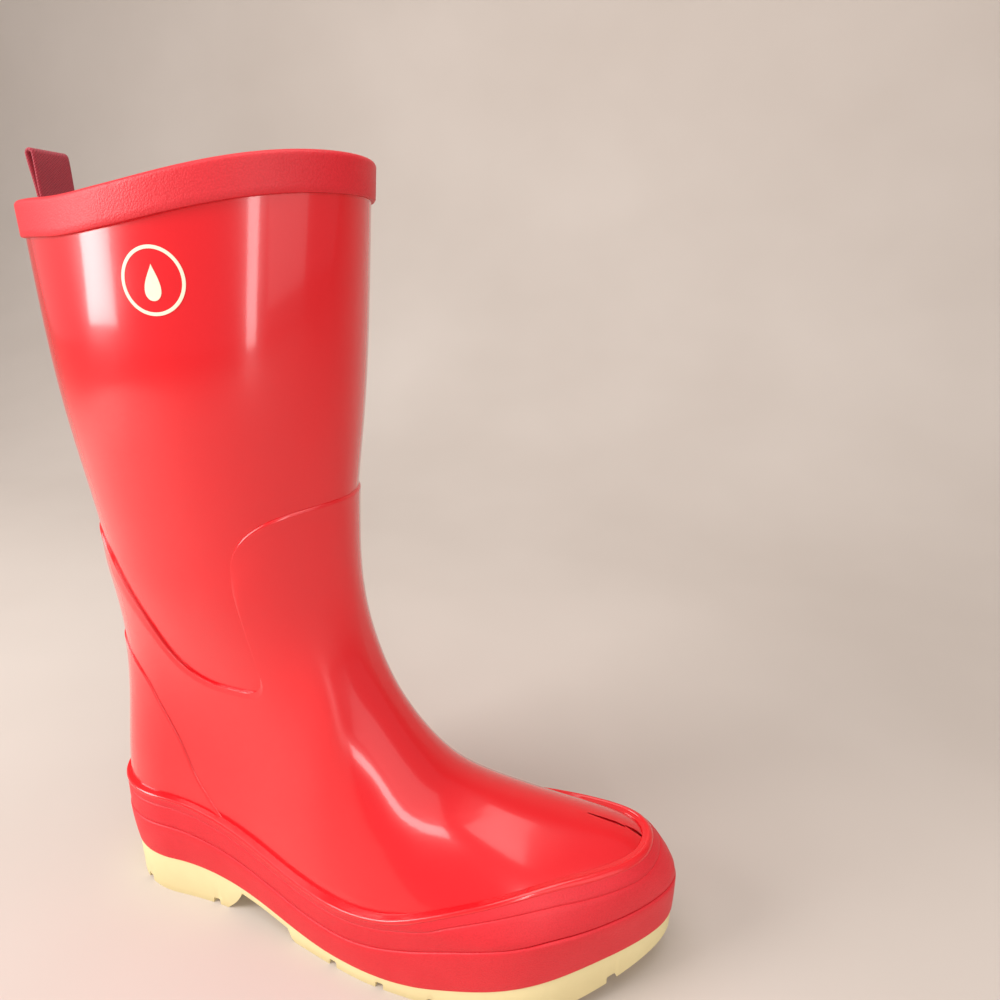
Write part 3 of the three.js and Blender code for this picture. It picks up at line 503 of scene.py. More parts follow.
vamp_rows = np.r_[np.linspace(0, 1, len(vamp_levels) + 1), 1 + rows_to_edge(34, VAMP_RUN / 2, EDGE_ROUND)[1:]]
vamp = sheet("vamp", 300, vamp_rows, vamp_place, vamp_outer, vamp_inner)
report(vamp)

# %% [markdown]
# Heel counter: a further patch of rubber round the heel. Its front seam climbs in a curve from the strips
# to the back of the ankle.

# %% Heel counter
COUNTER_HEIGHT, COUNTER_REACH = 144, 72
COUNTER_INNER, COUNTER_OUTER = VAMP_OUTER - 0.15, VAMP_OUTER + 0.75
counter_seam = spline([
    (float(foxing_top(COUNTER_REACH - HEEL_CENTRE)), COUNTER_REACH), (62, COUNTER_REACH - 7),
    (72, COUNTER_REACH - 14), (94, COUNTER_REACH - 24), (113, COUNTER_REACH - 33), (131, COUNTER_REACH - 44),
    (COUNTER_HEIGHT - 6, COUNTER_REACH - 52), (COUNTER_HEIGHT, COUNTER_REACH - 60),
])
counter_columns, counter_rows = 110, 60


def spaced(count, edge):
    """Shares 0..1, closer together near both ends."""
    t = np.linspace(0, 1, count + 1)
    return lerp(t, (1 - np.cos(np.pi * t)) / 2, edge)


counter_lines = {True: [], False: []}
foot_turn = float(turn_at(COUNTER_REACH - HEEL_CENTRE, TOE_WALL_HEIGHT))
side = 1 - 2 * spaced(counter_columns, 0.9)
foot_z = meet(side * foot_turn, lambda x: foxing_top(x) - 2)
for up in spaced(counter_rows, 0.9):
    z = lerp(foot_z, COUNTER_HEIGHT, up)
    reach = turn_at(counter_seam(z) - HEEL_CENTRE, z)
    from_seam = (1 - np.abs(side)) * reach * 150
    wall = rolled(from_seam, 1) * rolled((1 - up) * 90, 1)
    counter_lines[True].append(layer(side * reach, z, lerp(COUNTER_INNER, COUNTER_OUTER, wall)))
    counter_lines[False].append(layer(side * reach, z, COUNTER_INNER - 0.4 * wall))
counter_path = counter_lines[True] + counter_lines[False][::-1]
counter = lay_grid("counter", np.stack(counter_path + counter_path[:1]), sharp=60)
report(counter)

# %% [markdown]
# Collar band: a strip of pebbled rubber folded over the rim, so its cross-section is a hook. It hides the
# raw edges of leg panel and lining.

# %% Collar band
BAND_OUTER = CLEARANCE + 1.4
BAND_INNER = -5.9
LINING_INNER = -5.2


def arc(centre, rise, radius, start, stop, count):
    """Section points on an arc, with angles in degrees from straight out, turning up."""
    angles = np.radians(np.linspace(start, stop, count))
    return [(centre + radius * math.cos(a), 1.0, rise + radius * math.sin(a)) for a in angles]


band_middle = (BAND_OUTER + BAND_INNER) / 2
fold = [
    (band_middle + (BAND_OUTER - band_middle) * math.cos(a) ** 0.6, 1.0, -2.2 + 2.2 * math.sin(a))
    for a in np.radians(np.linspace(0, 89.9, 9))
]
fold_back = [(2 * band_middle - offset, share, rise) for offset, share, rise in fold[::-1]]
band_section = (
    [(-0.1, 0.0, 0.0), (BAND_OUTER - 0.9, 0.0, 0.0), (BAND_OUTER - 0.35, 0.0, 0.15), (BAND_OUTER, 0.0, 0.7)]
    + [(BAND_OUTER, share, 0.0) for share in (0.2, 0.4, 0.6, 0.75)]
    + fold + fold_back
    + [(BAND_INNER, 0.62, 0.0), (BAND_INNER + 0.2, 0.6, 0.0), (LINING_INNER - 0.05, 0.6, 0.0)]
    + [(LINING_INNER - 0.05, 0.8, 0.0), (-0.1, 0.8, 0.0)]
)
band = strip("collar", 240, lambda x: rim(x) - BAND_HEIGHT, rim, band_section)
report(band)

# %% [markdown]
# Foxing: rubber strips wrapped round the foot over the joint between upper and sole. At the top is a
# rounded lip; under it a pebbled strip with a shallow line, then a deeper strip that stands a little prouder.
# Each is a cross-section carried round the foot.

# %% Foxing strips
FOXING_INNER = 1.5
LIP_OUTER, UPPER_OUTER, LOWER_OUTER = 4.9, 4.3, 4.85
lip_section = (
    [(FOXING_INNER, 1.0, -0.4)]
    + [(LIP_OUTER - 0.9, 1.0, -0.4)]
    + arc(LIP_OUTER - 1.15, 0.75, 1.15, -60, 100, 10)
    + [(FOXING_INNER + 0.6, 1.0, 2.75), (FOXING_INNER, 1.0, 2.75)]
)
lip = strip("welt_lip", 300, foxing_middle, foxing_top, lip_section)
LINE_DOWN = 4.2  # of the shallow line, under the lip
upper_section = (
    [(FOXING_INNER, 0.0, 0.1), (UPPER_OUTER - 0.5, 0.0, 0.1)]
    + [(UPPER_OUTER - 0.12, 0.0, 0.3), (UPPER_OUTER, 0.0, 0.7)]
    + [(UPPER_OUTER, share, 0.0) for share in (0.2, 0.4, 0.6)]
    + [(UPPER_OUTER, 1.0, -LINE_DOWN - 0.55), (UPPER_OUTER - 0.1, 1.0, -LINE_DOWN - 0.3)]
    + [(UPPER_OUTER - 0.4, 1.0, -LINE_DOWN), (UPPER_OUTER - 0.02, 1.0, -LINE_DOWN + 0.35)]
    + [(UPPER_OUTER + 0.1, 1.0, up) for up in (-LINE_DOWN + 0.7, -2, -0.2)]
    + [(FOXING_INNER, 1.0, -0.2)]
)
upper_strip = strip("foxing_upper_strip", 300, foxing_middle, foxing_top, upper_section)


def lower_low(x):
    return sole_top(x) + 0.15


lower_section = (
    [(FOXING_INNER, 0.0, 0.0), (LOWER_OUTER - 0.4, 0.0, 0.0)]
    + [(LOWER_OUTER - 0.08, 0.0, 0.25), (LOWER_OUTER, 0.0, 0.7)]
    + [(LOWER_OUTER + 0.15 * math.sin(math.pi * share), share, 0.0) for share in (0.2, 0.35, 0.5, 0.65, 0.8)]
    + [(LOWER_OUTER, 1.0, -1.1), (LOWER_OUTER - 0.15, 1.0, -0.6), (LOWER_OUTER - 0.5, 1.0, -0.22)]
    + [(LOWER_OUTER - 1, 1.0, -0.1), (FOXING_INNER, 1.0, -0.1)]
)
lower_strip = strip("foxing_lower_strip", 300, lower_low, foxing_middle, lower_section)
for piece in (lip, upper_strip, lower_strip):
    report(piece)

# %% [markdown]
# Outsole: one cream rubber moulding with a heel block, a thin arch and a forefoot cut across by grooves. It
# starts as a grid laid across the foot under the strips and extruded down. What is missing under the arch,
# under the toe and in the grooves is then cut away with Boolean modifiers, as a mould would leave it.

# %% Outsole blank
SOLE_PROUD = 4.45
SOLE_DEEP = -2.0
across = np.linspace(0, 1, 13)
sole_turn = np.linspace(0, 1, 151)


def outline(turn):
    """The sole's edge, at the height of its own top."""
    point = layer(turn, meet(turn, sole_top), SOLE_PROUD)
    point[..., 2] = sole_top(last(turn, meet(turn, sole_top))[..., 0])
    return point


outer_edge, inner_edge = outline(sole_turn), outline(2 - sole_turn)
blank = np.stack([lerp(outer_edge, inner_edge, share) for share in across])
outsole = lay_grid("sole_blank", blank)
bpy.ops.object.mode_set(mode="EDIT")
bpy.ops.mesh.select_all(action="SELECT")
bpy.ops.mesh.extrude_region_move()
bpy.ops.object.mode_set(mode="OBJECT")
for corner in outsole.data.vertices:
    if corner.select:
        corner.co.z = SOLE_DEEP * MM
outsole.name = outsole.data.name = "tread_sole"
tidy_mesh(outsole)
report(outsole)

# %% [markdown]
# The cutters: one long shape for all that lies under the tread, drawn from the side as a filled circle whose
# corners are moved onto the outline, and one bar for each groove.

# %% Outsole cutters
ARCH_WALL = 4
HEEL_BLOCK_LENGTH, FOREFOOT_START = 73, 111
TOE_SPRING, TOE_SPRING_START = 15, 190
GROOVE_WIDTH, GROOVE_DEPTH, GROOVE_PITCH = 4, 3.5, 26
HEEL_GROOVES = (-20, 24)
CUT_ACROSS = 2 * BALL_WIDTH


def spring_at(x):
    past = np.maximum(0, x + HEEL_CENTRE - TOE_SPRING_START) / (FOOT_LENGTH - TOE_SPRING_START)
    return TOE_SPRING * past**2


heel_front, tread = HEEL_BLOCK_LENGTH - HEEL_CENTRE, FOREFOOT_START - HEEL_CENTRE
tip = FOOT_LENGTH - HEEL_CENTRE + 60
spring_line = [(x, float(spring_at(x))) for x in np.linspace(tip, TOE_SPRING_START - HEEL_CENTRE, 40)]
arch_line = [(x, float(sole_top(x)) - ARCH_WALL) for x in np.linspace(tread - 2.5, heel_front + 6, 14)]
heel_curve = [
    (heel_front + 6 - 10 * t + 0.6 * math.sin(math.pi * t),
     lerp(float(sole_top(heel_front + 6)) - ARCH_WALL, 0, t**0.8))
    for t in np.linspace(0.12, 1, 9)
]
under = [(-HEEL_CENTRE - 60, -20), (tip, -20)] + spring_line + [(tread + 2, 0.0), (tread, 1.4)]
under += arch_line + heel_curve
under += [(-HEEL_CENTRE + 4, 0.0), (-HEEL_CENTRE - 1, 1.1), (-HEEL_CENTRE - 5, 3.4), (-HEEL_CENTRE - 60, 3.4)]


def prism(name, points, width):
    """A shape drawn in X and Z, carried across the boot."""
    piece = start_piece(name, bpy.ops.mesh.primitive_circle_add, vertices=len(points), fill_type="NGON")
    for corner, (x, z) in zip(piece.data.vertices, points):
        corner.co = Vector((x, -width / 2, z)) * MM
    bpy.ops.object.mode_set(mode="EDIT")
    bpy.ops.mesh.select_all(action="SELECT")
    bpy.ops.mesh.extrude_region_move(TRANSFORM_OT_translate={"value": (0, width * MM, 0)})
    bpy.ops.object.mode_set(mode="OBJECT")
    tidy_mesh(piece)
    return piece


def cut(piece, cutter):
    """Cuts one shape out of a piece and throws the cutter away."""
    bpy.ops.object.select_all(action="DESELECT")
    bpy.context.view_layer.objects.active = piece
    piece.select_set(True)
    modifier = piece.modifiers.new("cut", "BOOLEAN")
    modifier.object = cutter
    modifier.operation = "DIFFERENCE"
    modifier.solver = "EXACT"
    bpy.ops.object.modifier_apply(modifier="cut")
    bpy.data.objects.remove(cutter)


cut(outsole, prism("under_tread", under, CUT_ACROSS))


def groove_bar(x):
    slope = math.atan2(float(spring_at(x + 1) - spring_at(x - 1)), 2)
    half, deep = GROOVE_WIDTH / 2, GROOVE_DEPTH
    shape = [(-half - 0.3, -deep), (half + 0.3, -deep), (half, deep - 0.6), (half - 0.6, deep),
             (-half + 0.6, deep), (-half, deep - 0.6)]
    turned = [(x + a * math.cos(slope) - b * math.sin(slope),
               float(spring_at(x)) + a * math.sin(slope) + b * math.cos(slope)) for a, b in shape]
    return prism("groove", turned, CUT_ACROSS)


last_groove = FOOT_LENGTH - HEEL_CENTRE - GROOVE_WIDTH
groove_places = [*HEEL_GROOVES, *np.arange(tread + GROOVE_PITCH, last_groove, GROOVE_PITCH)]
for x in groove_places:
    cut(outsole, groove_bar(float(x)))
soften = outsole.modifiers.new("soften", "BEVEL")
soften.width = 0.5 * MM
soften.segments = 2
soften.limit_method = "ANGLE"
soften.angle_limit = math.radians(45)
bpy.ops.object.modifier_apply(modifier="soften")
tidy_mesh(outsole)
bpy.ops.object.shade_smooth_by_angle(angle=math.radians(35))
report(outsole)

# %% [markdown]
# Lining: a knitted sock inside the rubber, seen through the leg opening. It is modelled as a sheet down to
# the join at the ankle and a bag below it. One could paint a knit onto the inside of the leg panel, but a
# real lining has its own thickness and its own edge under the collar.

# %% Leg lining
LINING_JOIN = 100
LINING_WALL = 1.2
LINING_OUTER = LINING_INNER + LINING_WALL


def leg_lining_place(share, row):
    top = meet(share, lambda x: rim(x) - 3.2)
    return share, lerp(LINING_JOIN + CLEARANCE, top, row)


leg_sock = sheet(
    "leg_sock", 200, np.linspace(0, 1, 40), leg_lining_place,
    outer=lambda share, row: LINING_OUTER, inner=lambda share, row: LINING_INNER,
)
report(leg_sock)

# %% [markdown]
# The foot of the sock is a trough: each section runs down one side, across under the foot and up the other.

# %% Foot lining
BOARD_WALL, SOCK_GAP = 2, 0.7


def board_top(x):
    return sole_top(x) + lerp(10, 3.6, ease(60, 150, x + HEEL_CENTRE)) + BOARD_WALL


def sock_floor(x):
    return board_top(x) + SOCK_GAP + LINING_WALL


sock_heights = np.r_[LINING_JOIN, 97, 93, 89, 84, 79, 75, 71, 67, 63, 59, 55, 51, 47]
foot_turn_rows = np.linspace(0, 1, 121)


def trough(turn, offset, floor):
    down = [layer(turn, z, offset) for z in sock_heights]
    edge = layer(turn, meet(turn, floor), offset)
    far_edge = layer(2 - turn, meet(2 - turn, floor), offset)
    bottom = [lerp(edge, far_edge, share) for share in np.linspace(0, 1, 17)]
    for line in bottom:
        line[2] = floor(line[0])
    up = [layer(2 - turn, z, offset) for z in sock_heights[::-1]]
    return down + bottom + up


foot_rows = []
for turn in foot_turn_rows:
    outside = trough(turn, LINING_OUTER, lambda x: board_top(x) + SOCK_GAP)
    inside = trough(turn, LINING_INNER, sock_floor)
    foot_rows.append(np.stack(outside + inside[::-1] + outside[:1]))
foot_sock = lay_grid("foot_sock", np.stack(foot_rows))
report(foot_sock)

# %% [markdown]
# Footbed: a foam slab with a cloth top, loose in the boot, so it has a joint of its own. Each piece is a
# cross-section with rounded edges and a shallow dish, carried from heel to toe.

# %% Footbed
FOOTBED_OFFSET = LINING_INNER - 1
FOAM_WALL, COVER_WALL = 4, 0.8


def footbed_piece(name, bottom, wall, edge_round, dish):
    rows = []
    for turn in foot_turn_rows:
        edge = layer(turn, meet(turn, bottom), FOOTBED_OFFSET)
        far_edge = layer(2 - turn, meet(2 - turn, bottom), FOOTBED_OFFSET)
        width = max(np.linalg.norm(far_edge - edge), 1e-6)
        inset = min(edge_round / width, 0.25)
        shares = np.r_[0, inset * 0.12, inset * 0.45, inset, np.linspace(inset, 1 - inset, 17)[1:-1],
                       1 - inset, 1 - inset * 0.45, 1 - inset * 0.12, 1]
        lift = dish * np.abs(2 * shares - 1) ** 4
        fall = edge_round * (1 - rolled(np.minimum(shares, 1 - shares) * width, edge_round))
        line = edge + shares[:, None] * (far_edge - edge)
        low, high = line.copy(), line.copy()
        low[:, 2] = bottom(line[:, 0]) + lift + fall * 0.5
        high[:, 2] = bottom(line[:, 0]) + wall + lift - fall * 0.5
        rows.append(np.concatenate([high, low[::-1], high[:1]]))
    return lay_grid(name, np.stack(rows), sharp=50)


def foam_bottom(x):
    return sock_floor(x) + CLEARANCE


footbed = footbed_piece("footbed_pad", foam_bottom, FOAM_WALL, 1.2, 1.5)
footbed_top = footbed_piece("footbed_cloth", lambda x: foam_bottom(x) + FOAM_WALL + 0.1, COVER_WALL, 0.4, 1.5)
report(footbed)
report(footbed_top)

# %% [markdown]
# Pull loop: one webbing strap. Both ends are sewn flat to the lining below the rim, and between them the
# strap stands up and folds over at the top. It is a ribbon carried along that path, so that the sewn ends and
# the free loop are one piece, which bends where the hinge is.

# %% Pull loop
LOOP_WIDTH, LOOP_HEIGHT, LOOP_PLY = 18, 20, 1.45
LOOP_LEAN = math.radians(6)
TAIL_LENGTH = 34
TAIL_MIDDLE = LINING_INNER - 1.05 - 1.5
hinge = Vector(next(j for j in frame["joints"] if j["name"] == "pull_loop_fold")["pos_m"]) / MM
crown, spread = LOOP_HEIGHT - 2.4, 1.65
foot_spread = 0.76

turn_over = [(crown + spread * math.sin(a), -spread * math.cos(a)) for a in np.linspace(0, math.pi, 17)]
climb = np.linspace(-TAIL_LENGTH, crown, 60)
rise = [(u, -lerp(foot_spread, spread, float(ease(2, crown, u)))) for u in climb]
strap_path = np.array(rise[:-1] + turn_over + [(u, -w) for u, w in rise[::-1][1:]])
heading = np.gradient(strap_path, axis=0)
heading /= np.hypot(*heading.T)[:, None]
side_way = np.stack([-heading[:, 1], heading[:, 0]], -1)
half_width, half_ply = LOOP_WIDTH / 2, LOOP_PLY / 2
flat = np.linspace(-half_width + half_ply, half_width - half_ply, 15)
bow = np.radians(np.linspace(-90, 90, 7))[1:-1]
ribbon = (
    [(y, half_ply) for y in flat]
    + [(half_width - half_ply + half_ply * math.cos(a), -half_ply * math.sin(a)) for a in bow]
    + [(y, -half_ply) for y in flat[::-1]]
    + [(-half_width + half_ply - half_ply * math.cos(a), half_ply * math.sin(a)) for a in bow]
)


def strap_point(u, w, y):
    """u up along the loop from its hinge, w forwards, y across."""
    z = hinge.z + u
    reach = float(turn_at(back_line(z) - HEEL_CENTRE + 4, z)) / 12
    sewn = layer(np.sign(y) * reach * abs(y) / half_width, z, TAIL_MIDDLE - w)
    sewn[1] = y
    free = np.array([
        hinge.x + w * math.cos(LOOP_LEAN) - u * math.sin(LOOP_LEAN), y,
        hinge.z + u * math.cos(LOOP_LEAN) + w * math.sin(LOOP_LEAN),
    ])
    return lerp(sewn, free, float(ease(-9, -1, u)))


strap_rows = []
for i, (u, w) in enumerate(strap_path):
    thin = 0 if i in (0, len(strap_path) - 1) else 1
    strap_rows.append([
        strap_point(u + thin * s * side_way[i, 0], w + thin * s * side_way[i, 1], y)
        for y, s in ribbon + ribbon[:1]
    ])
strap = lay_grid("loop_strap", np.array(strap_rows), sharp=60)
report(strap)

# %% [markdown]
# Tape and patch: a cloth tape covers the lining's back seam, and a patch is glued over the strap's sewn ends.
# Both are thin strips up the back, with soft edges.

# %% Seam tape and patch
TAPE_HALF_WIDTH, TAPE_WALL = 9, 0.6
PATCH_EDGE, PATCH_WALL = 3, 0.8
tail_top = hinge.z - 1.6 - 3 * CLEARANCE
tail_bottom = tail_top - TAIL_LENGTH
inside_lining = LINING_INNER - 3 * CLEARANCE


def turn_at_width(half, z):
    turns = np.linspace(0, 0.4, 400)
    return float(np.interp(half, -last(turns, z)[:, 1], turns))


def back_strip(name, half, low, high, outer, wall):
    outside, inside = [], []
    for up in spaced(40, 0.6):
        z = lerp(low, high, up)
        share = 1 - 2 * spaced(24, 0.6)
        from_edge = np.minimum((1 - np.abs(share)) * half, min(up, 1 - up) * (high - low))
        soft = rolled(from_edge, wall)
        reach = turn_at_width(half, z)
        outside.append(layer(share * reach, z, outer - wall / 2 * (1 - soft)))
        inside.append(layer(share * reach, z, outer - wall / 2 * (1 + soft)))
    path = outside + inside[::-1]
    return lay_grid(name, np.stack(path + path[:1]), sharp=60)


tape = back_strip(
    "seam_tape", TAPE_HALF_WIDTH, LINING_JOIN, tail_bottom - PATCH_EDGE - 2, inside_lining, TAPE_WALL
)
patch = back_strip(
    "strap_patch", LOOP_WIDTH / 2 + PATCH_EDGE, tail_bottom - PATCH_EDGE, tail_top - 8,
    inside_lining - 3 - CLEARANCE, PATCH_WALL,
)
report(tape)
report(patch)

# %% [markdown]
# Printed mark: a plain ring with a raindrop in it, in raised ink on the outer side of the leg. Both are
# thin closed skins laid on the leg, so they follow its curve.

# %% Printed mark
PRINT_FORWARD, PRINT_HEIGHT = 87, 314
PRINT_RADIUS, PRINT_LINE = 12, 1.3
INK_TOP, INK_UNDER = 0.14, -0.08


def on_leg(dx, dz, offset):
    x, z = PRINT_FORWARD - HEEL_CENTRE + dx, PRINT_HEIGHT + dz
    return layer(turn_at(x, z), z, offset)


around = np.linspace(0, 2 * np.pi, 97)
ring_section = [(0, INK_UNDER), (0.03, INK_TOP), (0.5, INK_TOP + 0.02), (0.97, INK_TOP)]
ring_section += [(1, INK_UNDER), (0, INK_UNDER)]


def circle(radius, offset):
    return on_leg(radius * np.cos(around), radius * np.sin(around), offset)


ring = lay_grid(
    "print_ring", np.stack([circle(PRINT_RADIUS - s * PRINT_LINE, offset) for s, offset in ring_section])
)


def drop_outline(size):
    """A raindrop with its point up."""
    dx = 4.3 * size * np.sin(around) * np.sin(around / 2) ** 1.4
    return dx, 6.2 * size * np.cos(around) - 0.6


drop_section = [(size, INK_TOP) for size in (0.0, 0.5, 0.9, 1.0)]
drop_section += [(size, INK_UNDER) for size in (1.02, 0.5, 0.0)]
drop_rows = [on_leg(*drop_outline(size), offset) for size, offset in drop_section]
drop = lay_grid("print_drop", np.stack(drop_rows))
report(ring)
report(drop)

# %% [markdown]
# Materials. Writing a shader by hand means adding one node for each sum. So that the sums can be read, a
# small class stands for a socket and turns +, -, * and / into Math nodes. Everything else goes through one
# method that takes a node's type, its settings and its inputs.

# %% Shader sums
class Wire:
    """A value on its way through a material."""

    def __init__(self, finish, socket):
        self.finish, self.socket = finish, socket

    def sum(self, operation, *values):
        inputs = {i: value for i, value in enumerate(values)}
        return self.finish.node("ShaderNodeMath", {"operation": operation}, inputs)

    def __add__(self, other):
        return self.sum("ADD", self, other)

    def __radd__(self, other):
        return self.sum("ADD", other, self)

    def __sub__(self, other):
        return self.sum("SUBTRACT", self, other)

    def __rsub__(self, other):
        return self.sum("SUBTRACT", other, self)

    def __mul__(self, other):
        return self.sum("MULTIPLY", self, other)

    def __rmul__(self, other):
        return self.sum("MULTIPLY", other, self)

    def sine(self):
        return self.sum("SINE", self)

    def size(self):
        return self.sum("ABSOLUTE", self)


class Finish:
    """One material, with its shader's constants set from keywords."""

    def __init__(self, name, **constants):
        self.material = bpy.data.materials.new(name)
        self.material.use_nodes = True
        self.shader = self.material.node_tree.nodes["Principled BSDF"]
        for socket, value in constants.items():
            self.shader.inputs[socket.replace("_", " ")].default_value = value

    def node(self, kind, settings, inputs, out=0):
        made = self.material.node_tree.nodes.new(kind)
        for name, value in settings.items():
            if name == "stops":
                while len(made.color_ramp.elements) < len(value):
                    made.color_ramp.elements.new(0.5)
                for stop, (place, colour) in zip(made.color_ramp.elements, value):
                    stop.position, stop.color = place, colour
            else:
                setattr(made, name, value)
        for name, value in inputs.items():
            if isinstance(value, Wire):
                self.material.node_tree.links.new(value.socket, made.inputs[name])
            else:
                made.inputs[name].default_value = value
        return Wire(self, made.outputs[out])

    def place(self, kind="Object"):
        return self.node("ShaderNodeTexCoord", {}, {}, kind)

    def along(self, vector, axis):
        return self.node("ShaderNodeSeparateXYZ", {}, {"Vector": vector}, axis)

    def noise(self, scale, detail=3.0, roughness=0.5, stretch=(1, 1, 1)):
        vector = self.node("ShaderNodeMapping", {}, {"Vector": self.place(), "Scale": stretch})
        return self.node(
            "ShaderNodeTexNoise", {},
            {"Vector": vector, "Scale": scale, "Detail": detail, "Roughness": roughness},
        )

    def cells(self, scale):
        inputs = {"Vector": self.place(), "Scale": scale}
        return self.node("ShaderNodeTexVoronoi", {}, inputs)

    def blended(self, share, first, second):
        """A colour between two."""
        inputs = {"Factor": share, 6: (*first, 1), 7: (*second, 1)}
        return self.node("ShaderNodeMix", {"data_type": "RGBA"}, inputs, 2)

    def feed(self, socket, wire):
        self.material.node_tree.links.new(wire.socket, self.shader.inputs[socket])

    def raise_by(self, height, distance, strength=1.0):
        inputs = {"Height": height, "Distance": distance, "Strength": strength}
        self.feed("Normal", self.node("ShaderNodeBump", {}, inputs))


# %% [markdown]
# Rubber. Glossy rubber is lacquered: a clear coat over a red base, with slow waves in it that bend the
# reflections, and fine dust specks. Pebbled rubber is pressed against a cloth or a patterned roll, so it has
# a fine grain that breaks the shine. Cream rubber is uncoated, with a powdery bloom, and its colour darkens
# towards the bottom of the sole, over the lowest 4 mm.

# %% Red rubber
GLOSS_RED, DEEP_RED = (0.80, 0.007, 0.014), (0.70, 0.004, 0.010)
PEBBLE_RED, PEBBLE_DARK = (0.78, 0.014, 0.028), (0.60, 0.008, 0.016)

gloss = Finish("gloss red rubber", Coat_Weight=0.6, Coat_Roughness=0.08, IOR=1.5)
clouds = gloss.noise(14, 3)
specks = gloss.noise(900, 2)
gloss.feed("Base Color", gloss.blended(clouds * 0.75 + specks * 0.25, DEEP_RED, GLOSS_RED))
gloss.feed("Roughness", 0.17 + clouds * 0.08 + specks * 0.05)
gloss.raise_by(gloss.noise(22, 2) + specks * 0.004, 0.0008, 0.5)

pebbled = Finish("pebbled red rubber", Coat_Weight=0.06, Coat_Roughness=0.4)
pebbles = pebbled.cells(1500)
worn = pebbled.noise(60, 4)
pebbled.feed("Base Color", pebbled.blended(pebbles * 0.6 + worn * 0.4, PEBBLE_RED, PEBBLE_DARK))
pebbled.feed("Roughness", 0.40 + worn * 0.2)
pebbled.raise_by(1 - pebbles, 0.00018, 0.55)

cream = Finish("cream rubber")
bloom = cream.noise(35, 5, 0.6)
grit = cream.noise(1300, 2)
cream_height = cream.along(cream.place(), "Z")
# Darker towards the bottom: the cream colour darkens over the lowest 4 mm of the sole, measured up from the floor.
DARKER_BELOW = 0.004
bottom_ramp = cream.node("ShaderNodeMapRange", {}, {"Value": cream_height, "From Max": DARKER_BELOW})
cream_mix = bloom * 0.7 + bottom_ramp * 0.3
cream.feed("Base Color", cream.blended(cream_mix, (0.66, 0.53, 0.25), (0.84, 0.73, 0.40)))
cream.feed("Roughness", 0.5 + bloom * 0.25)
cream.raise_by(bloom * 0.4 + grit * 0.2, 0.0003, 0.5)
print("rubber finishes:", gloss.material.name, pebbled.material.name, cream.material.name)

# %% [markdown]
# Cloths. A weave is two sets of threads crossing: the product of two sine waves along the piece's own UV map,
# which has real lengths. A knit is columns of stitches, each a V, so the rows are bent by the column's wave.

# %% Webbing, knit and cloth
TURN = 2 * math.pi


def threads(finish, across_pitch, along_pitch, kind="UV"):
    place = finish.place(kind)
    across_wave = (finish.along(place, "X") * (TURN / across_pitch)).sine()
    upwards = finish.along(place, "Y" if kind == "UV" else "Z")
    return 0.5 + 0.5 * across_wave * (upwards * (TURN / along_pitch)).sine()


webbing = Finish("red webbing", Sheen_Weight=0.2, Sheen_Roughness=0.5)
weave = threads(webbing, 0.0014, 0.0011)
fuzz = webbing.noise(700, 3)
webbing_colour = webbing.blended(weave * 0.6 + fuzz * 0.4, (0.26, 0.012, 0.026), (0.5, 0.03, 0.055))
webbing.feed("Base Color", webbing_colour)
webbing.feed("Roughness", 0.62 + fuzz * 0.25)
webbing.raise_by(weave + fuzz * 0.2, 0.0003, 0.7)

knit = Finish("knit lining", Sheen_Weight=0.25, Sheen_Roughness=0.6)
STITCH_WIDTH, STITCH_HEIGHT = 0.0016, 0.0013
knit_place = knit.place("UV")
stitch = (knit.along(knit_place, "X") * (math.pi / STITCH_WIDTH)).sine().size()
course = (knit.along(knit_place, "Y") * (TURN / STITCH_HEIGHT) + stitch * 2.2).sine()
pile = knit.noise(500, 3)
knit.feed("Base Color", knit.blended(stitch * 0.4 + pile * 0.6, (0.40, 0.365, 0.31), (0.68, 0.64, 0.57)))
knit.feed("Roughness", 0.8 + pile * 0.15)
knit.raise_by(stitch * 0.6 + course * 0.25 + pile * 0.15, 0.0004, 0.8)


def woven(name, kind, dark, light):
    cloth = Finish(name, Sheen_Weight=0.15)
    plain = threads(cloth, 0.0009, 0.0009, kind)
    slub = cloth.noise(160, 4, stretch=(1, 1, 6))
    cloth.feed("Base Color", cloth.blended(plain * 0.5 + slub * 0.5, dark, light))
    cloth.feed("Roughness", 0.75 + slub * 0.2)
    cloth.raise_by(plain + slub * 0.3, 0.0002, 0.7)
    return cloth


tape_cloth = woven("seam cloth", "UV", (0.36, 0.33, 0.28), (0.6, 0.56, 0.49))
inner_cloth = woven("interlining cloth", "Object", (0.36, 0.33, 0.28), (0.6, 0.56, 0.49))
footbed_cloth = woven("footbed cloth", "UV", (0.10, 0.11, 0.12), (0.30, 0.31, 0.33))
print("cloth finishes made")

# %% [markdown]
# The materials inside: board, steel, foam, filler rubber and the ink of the mark. Board is pressed fibres, so
# its noise is stretched. Steel is brushed along its length. Foam is open cells.

# %% Inner materials and ink
fibreboard = Finish("fibreboard")
fibres = fibreboard.noise(300, 5, 0.65, stretch=(1, 5, 5))
fibreboard.feed("Base Color", fibreboard.blended(fibres, (0.25, 0.165, 0.085), (0.52, 0.38, 0.22)))
fibreboard.feed("Roughness", 0.75 + fibres * 0.2)
fibreboard.raise_by(fibres, 0.0002)

steel = Finish("shank steel", Metallic=1.0)
brush = steel.noise(400, 3, stretch=(0.05, 1, 1))
steel.feed("Base Color", steel.blended(brush, (0.42, 0.43, 0.45), (0.68, 0.68, 0.7)))
steel.feed("Roughness", 0.28 + brush * 0.2)
steel.raise_by(brush, 0.00005)

foam = Finish("footbed foam")
bubbles = foam.cells(1400)
foam.feed("Base Color", foam.blended(bubbles, (0.07, 0.075, 0.085), (0.03, 0.033, 0.04)))
foam.feed("Roughness", 0.8 + bubbles * 0.15)
foam.raise_by(bubbles, 0.0003)

